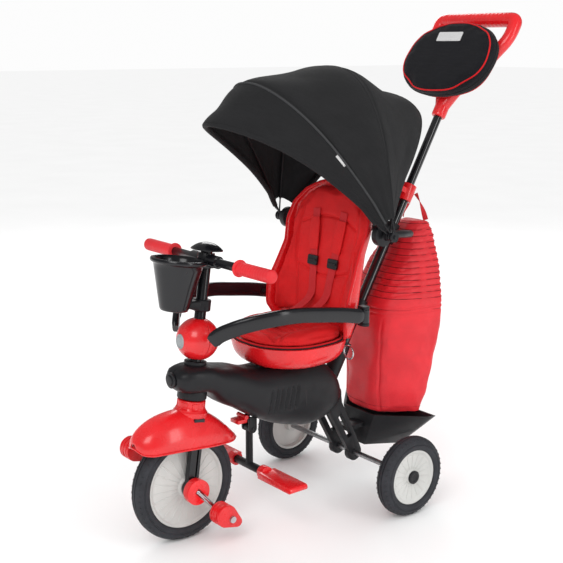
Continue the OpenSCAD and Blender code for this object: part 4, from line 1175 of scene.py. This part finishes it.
def seat_cushion():
    """Base cushion: sewn channels across, a raised roll at each side and a rolled front."""
    room = (106, -84)
    rings = [(398, -26), (398, -14), (402, -11), (408, -10), (413, -12), (416.5, -17),
             (418, -26)]
    rows = [pan_ring(z, grow, limit=room) for z, grow in rings]
    inner = np.array([tuple(p) for p in rows[-1]])
    centre = inner.mean(axis=0)
    for share in (0.75, 0.5, 0.25, 0.06):
        rows.append([Vector((centre + (p - centre) * share).tolist()) for p in inner])
    made = puffed(skin("seat_cushion", rows), SEAT_CELL, 5)

    def rise(spots, out):
        x, y = spots[:, 0], spots[:, 1] - AXLE_BACK
        top = np.clip((out[:, 2] - 0.35) / 0.4, 0, 1)
        roll = 7 * np.clip((np.abs(x) - 56) / 24, 0, 1) ** 1.5
        roll *= np.clip((106 - np.abs(x)) / 8, 0, 1)
        bend = y + 0.0016 * x * x
        cuts = np.zeros(len(x))
        for line in SEAT_CHANNELS:
            cuts = np.maximum(cuts, groove(bend - line, 3.0))
        cuts *= np.clip((76 - np.abs(x)) / 10, 0, 1)
        side_seam = groove(np.abs(x) - 78 + 0.0008 * (y + 190) ** 2, 2.4)
        return top * (4.6 * np.maximum(cuts, 0.8 * side_seam) - roll)

    pressed(made, rise)
    finish(mapped(made), "frame", SEAT_CLOTH, ["seat_pad"], crease=80)
    band = pan_ring(400, -9.2, limit=(room[0] + 2, room[1] + 1))
    cord_piece("seat_cushion_piping", band, 2.2, "frame", RED_CORD, closed=True)
    under = pan_ring(397.4, -6.5, limit=(room[0] + 4, room[1] + 2))
    cord_piece("seat_cushion_binding", under, 1.6, "frame", BLACK_WEBBING, closed=True)


def back_cushion():
    """Back cushion: wings that come round, a waist seam and a head panel."""
    rows = []
    for share in np.linspace(0.06, 0.975, 44):
        thin = min(1.0, (share - 0.04) / 0.06, (0.995 - share) / 0.05)
        front = back_line(share, 7 + 12 * thin, 40)
        rear = back_line(share, 6.5, 40)
        rows.append(front[1:-1] + rear[1:-1][::-1])
    made = puffed(skin("back_cushion", rows), SEAT_CELL, 5)

    def seams(spots, out):
        local = np.array(spots) * MM - np.array(BACK.origin)
        x = local[:, 0] / MM
        h = local @ np.array(BACK.up) / MM / BACK_H
        front = np.clip(-(out @ np.array(BACK.back)) * 3 - 0.2, 0, 1)
        waist = groove((h - 0.36 - 0.045 * (x / 80) ** 2) * BACK_H, 3.2)
        head = groove((h - 0.76 + 0.05 * (x / 80) ** 2) * BACK_H, 3.0)
        sides = groove(np.abs(x) - 82 + 14 * np.cos(h * 5), 3.0)
        flutes = groove(np.abs(x) - 28, 2.6) * np.clip((h - 0.40) * 20, 0, 1) * np.clip(
            (0.72 - h) * 20, 0, 1)
        inside = np.clip((95 - np.abs(x)) / 8, 0, 1)
        return front * 4.4 * np.maximum.reduce([waist * inside, head * inside, sides,
                                                0.7 * flutes])

    pressed(made, seams)
    finish(mapped(made), "frame", SEAT_CLOTH, ["back_pad"], crease=80)
    return made


seat_cushion()
back_piece = back_cushion()
CROTCH = middle("crotch_post")


def harness():
    """Two shoulder straps with their buckles, from the back down to the post."""
    for side, word in ((1, "left"), (-1, "right")):
        upper = [BACK(side * x, -40, share * BACK_H) for x, share in
                 ((46, 0.80), (42, 0.66), (38, 0.55), (31, 0.38), (26, 0.24))]
        upper = curve_through(upper, 36)
        upper = laid_on(upper, back_piece, BACK.back, 2.2)
        lower = [GROUND(side * x, y, z) for x, y, z in
                 ((22, -142, 444), (17, -180, 440), (12, -212, 440), (9, -222, 438))]
        path = curve_through([*upper[::5], *lower], 70)
        strap = along_path("shoulder_strap_" + word, path, lambda share: flat_section(23, 1.8),
                           across=(1, 0, 0))
        finish(strap, "frame", RED_WEBBING, ["harness"] if side > 0 else [], crease=50)
        at = Vector(path[24])
        ahead = (Vector(path[26]) - Vector(path[22])).normalized()
        out = (X.cross(ahead)).normalized()
        if out.y > 0:
            out = -out
        for part, span, along, thick, lift in (("frame", 32, 22, 4.2, 2.6),
                                               ("bar", 27, 5, 3.0, 5.4)):
            corner = 4 if part == "frame" else 1.6
            piece = block(f"strap_buckle_{part}_{word}", oblong(span, along), thick, corner,
                          at + out * (lift - thick / 2) * MM, out)
            finish(piece, "frame", GLOSS_BLACK)
        pad = [Vector(p) + out * 2.4 * MM for p in path[4:20]]
        cover = along_path("shoulder_pad_" + word, pad, lambda share: flat_section(
            31 - 4 * abs(2 * share - 1) ** 4, 3.6, 1.2), across=(1, 0, 0))
        finish(cover, "frame", SEAT_CLOTH, crease=60)
    top = Vector((0, CROTCH.y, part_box("crotch_post")[1].z)) + Vector((0, 0, -3 * MM))
    buckle = block("crotch_buckle", oblong(30, 26), 6.5, 8, top, (0, -0.35, 1))
    finish(buckle, "frame", GLOSS_BLACK)


harness()

# ---- canopy ----

BOWS = np.array([(36, 407, 150, 15, 2.0, 11.6), (53, 392, 168, 6, 2.2, 18.2),
                 (87, 345, 180, 0, 2.5, 24.8), (130, 334, 138, -4, 2.3, 5.0)])
HINGE_X, HINGE_BACK, HINGE_UP = 170, -44, 628


def bow_sizes(t):
    """Sizes of the canopy at a count of bows from the front, easing from bow to bow."""
    slopes = np.gradient(BOWS, axis=0)
    k = min(int(t), len(BOWS) - 2)
    u = t - k
    return ((2 * u**3 - 3 * u**2 + 1) * BOWS[k] + (u**3 - 2 * u**2 + u) * slopes[k]
            + (3 * u**2 - 2 * u**3) * BOWS[k + 1] + (u**3 - u**2) * slopes[k + 1])


def canopy_line(t, out, count=81, first=4, folds=True):
    """One line of the canopy from side to side, lying outside the bows by a distance."""
    turn, reach, half, scoop, power, bow_x = bow_sizes(t)
    slack = math.sin(math.pi * (t % 1)) ** 2 * (0.7, 1.5, 2.6, 2.6)[int(t)]
    line = []
    for angle in np.linspace(first, 180 - first, 240):
        a = math.radians(angle)
        x, rise = squircle(a, half, reach, power)
        share = rise / reach
        low = max(0.0, 1 - rise / (0.45 * reach))
        x += math.copysign(low ** 1.5 * (HINGE_X + bow_x - half), x)
        tilt = math.radians(turn + scoop * (1 - share) * min(1.0, rise / (0.2 * reach)))
        sink = 10 * slack * share
        if folds:
            sink += 5 * math.sin(3 * math.pi * (t % 1)) ** 2 * max(0.0, 1 - share / 0.5) * share * 3
            sink += 1.2 * slack * math.sin(angle * 0.21 + t * 5) * math.sin(angle * 0.05)
        rise += (out - sink) * share ** 0.5
        x += math.copysign((out - 0.6 * sink) * (1 - share ** 2), x)
        line.append(GROUND(x, HINGE_BACK - rise * math.cos(tilt), HINGE_UP + rise * math.sin(tilt)))
    return [Vector(p) for p in evenly(line, count)]


def canopy():
    """One sewn sheet over the bows, piped at the second, hemmed at both ends, with a tag."""
    counts = np.unique(np.concatenate([np.linspace(0, 3, 73), [1.015, 1.03, 1.06, 0.985, 2.02]]))
    rows = []
    for t in counts:
        crease = 3.2 * groove(t - 1.045, 0.02) + 2.0 * groove(t - 2.04, 0.02)
        rows.append(canopy_line(t, 5.4 - crease))
    made = skin("canopy_sheet", rows, ring=False)
    sheet = finish(walled(made, 1.2), None, CANOPY_CLOTH, ["canopy_cloth"], crease=80)
    with_it = []

    def trim(name, t, out, radius, material, body=None, first=4):
        line = canopy_line(t, out, 121, first)
        with_it.append(cord_piece(name, line, radius, body, material))
        return with_it[-1]

    trim("canopy_piping", 1.0, 7.4, 2.3, GREY_CORD)
    trim("canopy_seam", 2.0, 6.2, 1.1, CANOPY_CLOTH)
    sleeves = [trim("canopy_front_hem", 0.0, 0.5, 5.8, CANOPY_CLOTH, "bow_front", 6),
               trim("canopy_rear_hem", 3.0, 0.5, 5.6, CANOPY_CLOTH, "frame", 6)]
    for name, t in (("canopy_piping_stitches_front", 0.955), ("canopy_seam_stitches", 2.065),
                    ("canopy_seam_stitches_front", 1.935), ("canopy_hem_stitches", 0.09),
                    ("canopy_rear_stitches", 2.93)):
        with_it.append(stitch_piece(name, canopy_line(t, 6.1, 121), None, BLACK_WEBBING))
    a, b = canopy_line(1.0, 7.6, 121), canopy_line(0.90, 7.0, 121)
    tag = [[a[k] * (1 - s) + b[k] * s for k in range(21, 26)] for s in (0, 0.3, 0.6, 1.0)]
    tag = walled(skin("canopy_tag", tag, ring=False), 0.7)
    with_it.append(finish(tag, None, WHITE_TAG, crease=60))
    for piece in [sheet] + [p for p in with_it if p not in sleeves]:
        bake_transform(piece)


canopy()

# ---- storage bag ----

BAG = [(179, 44, 148, 52, 140), (230, 42, 162, 58, 148), (300, 44, 184, 64, 152),
       (380, 50, 200, 68, 154), (437, 60, 210, 70, 148), (520, 110, 226, 64, 112),
       (590, 156, 236, 44, 70), (616, 176, 232, 30, 52), (622, 184, 228, 26, 46)]
PLEATS = 13
PLEAT_LOW, PLEAT_HIGH = 452, 612


def bag_ring(z, inset=0.0, count=120):
    sizes = np.array(BAG, float)
    front, back, near, far = (float(np.interp(z, sizes[:, 0], sizes[:, k])) for k in (1, 2, 3, 4))
    ring = []
    for t in round_angles(count):
        a, b = squircle(t, 1.0, (back - front) / 2 - inset, 5)
        y = (front + back) / 2 + b
        wide = near + (far - near) * (y - front) / (back - front)
        ring.append((a * (wide - inset), y, z))
    return ring


def bag():
    """Nylon bag: gathered in rows over its top, plain and full below, with a double seam."""
    ends = curve_through(BAG, 60)
    rows = []
    for z in ends[:, 0]:
        rows.append([GROUND(*p) for p in bag_ring(z, 5)])
    made = puffed(skin("bag_skin", rows), BAG_CELL, 4)
    rng = np.random.default_rng(7)
    wander = rng.uniform(-1, 1, (3, 3))

    def gathers(spots, out):
        x, y, z = spots[:, 0], spots[:, 1] - AXLE_BACK, spots[:, 2]
        around = np.where(np.abs(out[:, 0]) > 0.6, y, x)
        wave = 1.6 * np.sin(around / 31 + wander[0, 0]) + 0.5 * np.sin(around / 9 + wander[0, 1])
        pitch = (PLEAT_HIGH - PLEAT_LOW) / (PLEATS - 1)
        phase = (z + wave - 0.10 * (y - 150) - PLEAT_LOW) / pitch
        side = np.clip(1.3 - np.abs(out[:, 2]) * 1.2, 0, 1)
        upper = np.clip((z - PLEAT_LOW + 6) / 12, 0, 1)
        pleat = groove((phase - np.round(phase)) * pitch, 2.2)
        folds = 1.3 * np.sin(around / 4.2 + 2.5 * np.sin(z / 31)) * upper
        seams = groove(z - 432 - 0.08 * (y - 130), 2.2) + groove(z - 421 - 0.08 * (y - 130), 2.2)
        lower = np.clip((410 - z) / 30, 0, 1)
        slack = 3.2 * np.sin(x / 31 + z / 47 + 1.1) * np.sin(z / 39 - y / 44) * lower
        slack += 1.4 * np.sin(x / 13 - z / 17) * np.sin(y / 15 + z / 29) * lower
        corner = groove(np.abs(x) - np.where(y > 120, 122, 56), 2.6) * lower
        return side * (2.4 * pleat * upper + folds * 0.6 + 2.4 * seams + slack + 2.2 * corner)

    pressed(made, gathers)
    finish(mapped(made), "frame", BAG_CLOTH, ["storage_bag"], crease=80)
    for k, z in enumerate(np.linspace(PLEAT_LOW, PLEAT_HIGH, PLEATS)):
        line = ringed(made, [GROUND(*p) for p in bag_ring(z, -8)], 0.4)
        cord_piece(f"bag_pleat_seam_{k + 1}", line, 0.8, "frame", DARK_THREAD, closed=True, sides=6)
    for name, z in (("bag_seam_stitches", 426.5), ("bag_hem_stitches", 196)):
        line = ringed(made, [GROUND(*p) for p in bag_ring(z, -8)], 0.5)
        stitch_piece(name, line, "frame", DARK_THREAD, closed=True)


bag()


def bag_straps():
    """Two twisted tabs that hold the bag up to the pole clamp."""
    for side, word in ((1, "left"), (-1, "right")):
        given = [(side * 9, 206, 680), (side * 17, 210, 664), (side * 27, 212, 644),
                 (side * 38, 212, 620)]
        path = [GROUND(*p) for p in curve_through(given, 24)]
        rows = []
        for i, spot in enumerate(path):
            share = i / (len(path) - 1)
            twist = math.radians(150) * share * side
            run = (path[min(i + 1, 23)] - path[max(i - 1, 0)]).normalized()
            flat = run.cross(Vector((0, 1, 0))).normalized()
            wide = flat * math.cos(twist) + run.cross(flat) * math.sin(twist)
            thin = run.cross(wide)
            rows.append([spot + MM * (a * wide + b * thin)
                         for a, b in flat_section(12, 1.6)])
        made = skin("bag_strap_" + word, rows)
        finish(made, "frame", RED_WEBBING, ["bag_straps"] if side > 0 else [], crease=60)


bag_straps()

# ---- parent handle ----


def pole_rods():
    """Outer and inner pole, with rounded rims."""
    lower = eased([(-104, 0.3), (-104, 12), (376, 12), (376, 10.6)], 1.2, False)
    made = turned("pole_outer_tube", POLE.origin, POLE.up, lower, 64)
    finish(made, "frame", POLE_PAINT, ["pole_lower"])
    upper = eased([(226, 0.3), (226, 10), (605, 10), (605, 0.3)], 1.0, False)
    made = turned("pole_inner_tube", POLE.origin, POLE.up, upper, 56)
    finish(made, "handle", POLE_PAINT, ["pole_upper"])


def handle_loop():
    """Red loop with a thick soft bar across its top."""
    arm = [(0, 597), (9, 618), (22, 645), (40, 672), (62, 697), (82, 726), (100, 755), (112, 776),
           (118, 798), (118, 818)]
    arm = [tuple(p) for p in curve_through([(x, 0, s) for x, s in arm], 40)]
    path = [POLE(x, y, s) for x, y, s in arm]
    bend = [POLE(118 - 14 * (1 - math.cos(t)), 0, 818 + 16 * math.sin(t))
            for t in np.linspace(0.2, math.pi / 2, 9)]
    for side, word in ((1, "left"), (-1, "right")):
        line = [Vector((p.x * side, p.y, p.z)) for p in path + bend]
        made = along_path("handle_arm_" + word, line, lambda share: round_section(
            15 + 1.6 * min(1, max(0, share - 0.75) * 6), 24), across=(0, 1, 0))
        finish(made, "handle", RED_PLASTIC, ["push_handle"] if side > 0 else [], crease=60)
    grip = [(-106, 0.3), (-106, 14), (-104.5, 16.4), (-102, 17)]
    for start in range(-96, 92, 12):
        grip += [(start, 17), (start + 9.4, 17), (start + 10.2, 16.8), (start + 11.2, 16.8)]
    grip += [(102, 17), (104.5, 16.4), (106, 14), (106, 0.3)]
    made = turned("handle_grip", POLE(0, 0, 834), (1, 0, 0), grip, 48)
    finish(made, "handle", RED_PLASTIC, crease=35)
    neck = eased([(575, 10.2), (575, 16), (580, 17), (628, 17), (634, 12), (634, 0.3)], 2, False)
    made = turned("handle_neck", POLE.origin, POLE.up, neck, 48)
    finish(made, "handle", RED_PLASTIC)


pole_rods()
handle_loop()

POUCH_ALONG, POUCH_WIDE, POUCH_TALL = 707, 138, 98


def pouch_ring(out, grow, count):
    return [POLE(a, out, POUCH_ALONG + b) for a, b in (
        squircle(t, POUCH_WIDE + grow, POUCH_TALL + grow, 2.3) for t in round_angles(count))]


def pouch():
    """Padded pouch on the handle: piped front, side gusset, zip and a blank label."""
    rows = [pouch_ring(out, grow, 72) for out, grow in (
        (-19.5, -61), (-19.5, -13), (-20, -6), (-22.5, -2.5), (-27, -1), (-48, -1),
        (-52, -2.5), (-54, -6), (-54.5, -15), (-54.5, -61))]
    made = puffed(skin("pouch_body", rows), POUCH_CELL, 3.5)
    finish(mapped(made), "handle", POUCH_CLOTH, ["pouch"], crease=80)
    for name, out, lift, radius, material in (
            ("pouch_piping_front", -52.5, 0.6, 1.9, RED_CORD),
            ("pouch_piping_rear", -22.5, 0.6, 1.7, RED_CORD),
            ("pouch_zip", -37, 1.0, 1.1, BLACK_WEBBING)):
        line = ringed(made, pouch_ring(out, 0, 96), lift)
        cord_piece(name, line, radius, "handle", material, closed=True)
    label = block("pouch_label", oblong(76, 24), 1.0, 3, POLE(-8, -57.6, POUCH_ALONG + 50),
                  -POLE.back)
    finish(label, "handle", WHITE_TAG)


pouch()

# ---- camera and light ----

SKY_LIGHT, LESS_IN_GLOSS = 0.98, 0.72
CAMERA_AT, CAMERA_AIM = (1.7842, -1.53097, 1.0215), (0, -0.11767, 0.5198)
CAMERA_LENS, CAMERA_SENSOR = 68.47, 36
LAMP_AIM = (0, -0.1, 0.5)


def aimed(made, at, target):
    made.location = at
    made.rotation_mode = "QUATERNION"
    made.rotation_quaternion = (Vector(target) - made.location).to_track_quat("-Z", "Y")
    bpy.context.scene.collection.objects.link(made)
    return made


def studio():
    """Pale floor, white surroundings and three soft panels of light."""
    scene = bpy.context.scene
    scene.view_settings.view_transform = "Standard"
    world = bpy.data.worlds.new("studio")
    world.use_nodes = True
    world.node_tree.nodes["Background"].inputs["Color"].default_value = (1, 1, 1, 1)
    sky = Nodes(world.node_tree)
    glossy = sky.add("ShaderNodeLightPath").outputs["Is Glossy Ray"]
    dimmer = sky.math("SUBTRACT", SKY_LIGHT, sky.math("MULTIPLY", glossy, LESS_IN_GLOSS))
    sky.tree.links.new(dimmer, sky.tree.nodes["Background"].inputs["Strength"])
    scene.world = world
    mesh = bpy.data.meshes.new("floor")
    mesh.from_pydata([(-40, -40, 0), (40, -40, 0), (40, 40, 0), (-40, 40, 0)], [], [(0, 1, 2, 3)])
    floor = new_piece("floor", mesh)
    paper = Finish("floor_paper", "pale_plastic", Specular_IOR_Level=0.0)
    paper.done(paper.colours(paper.noise(400, 2.0), (0.93, 0.93, 0.93), (0.95, 0.95, 0.95)),
               paper.between(paper.noise(60), 0.8, 0.9))
    mesh.materials.append(paper.material)
    for name, where, size, power in (
            ("key", (1.6, -2.6, 2.6), (1.6, 1.6), 34),
            ("side", (2.8, 0.6, 1.3), (0.5, 2.2), 16),
            ("rim", (-2.4, 1.8, 2.2), (1.4, 1.4), 22)):
        light = bpy.data.lights.new(name, "AREA")
        light.shape = "RECTANGLE"
        light.size, light.size_y = size
        light.energy = power
        aimed(bpy.data.objects.new(name, light), where, LAMP_AIM)
    camera = bpy.data.objects.new("camera", bpy.data.cameras.new("camera"))
    camera.data.sensor_width = CAMERA_SENSOR
    camera.data.lens = CAMERA_LENS
    scene.camera = aimed(camera, CAMERA_AT, CAMERA_AIM)


studio()
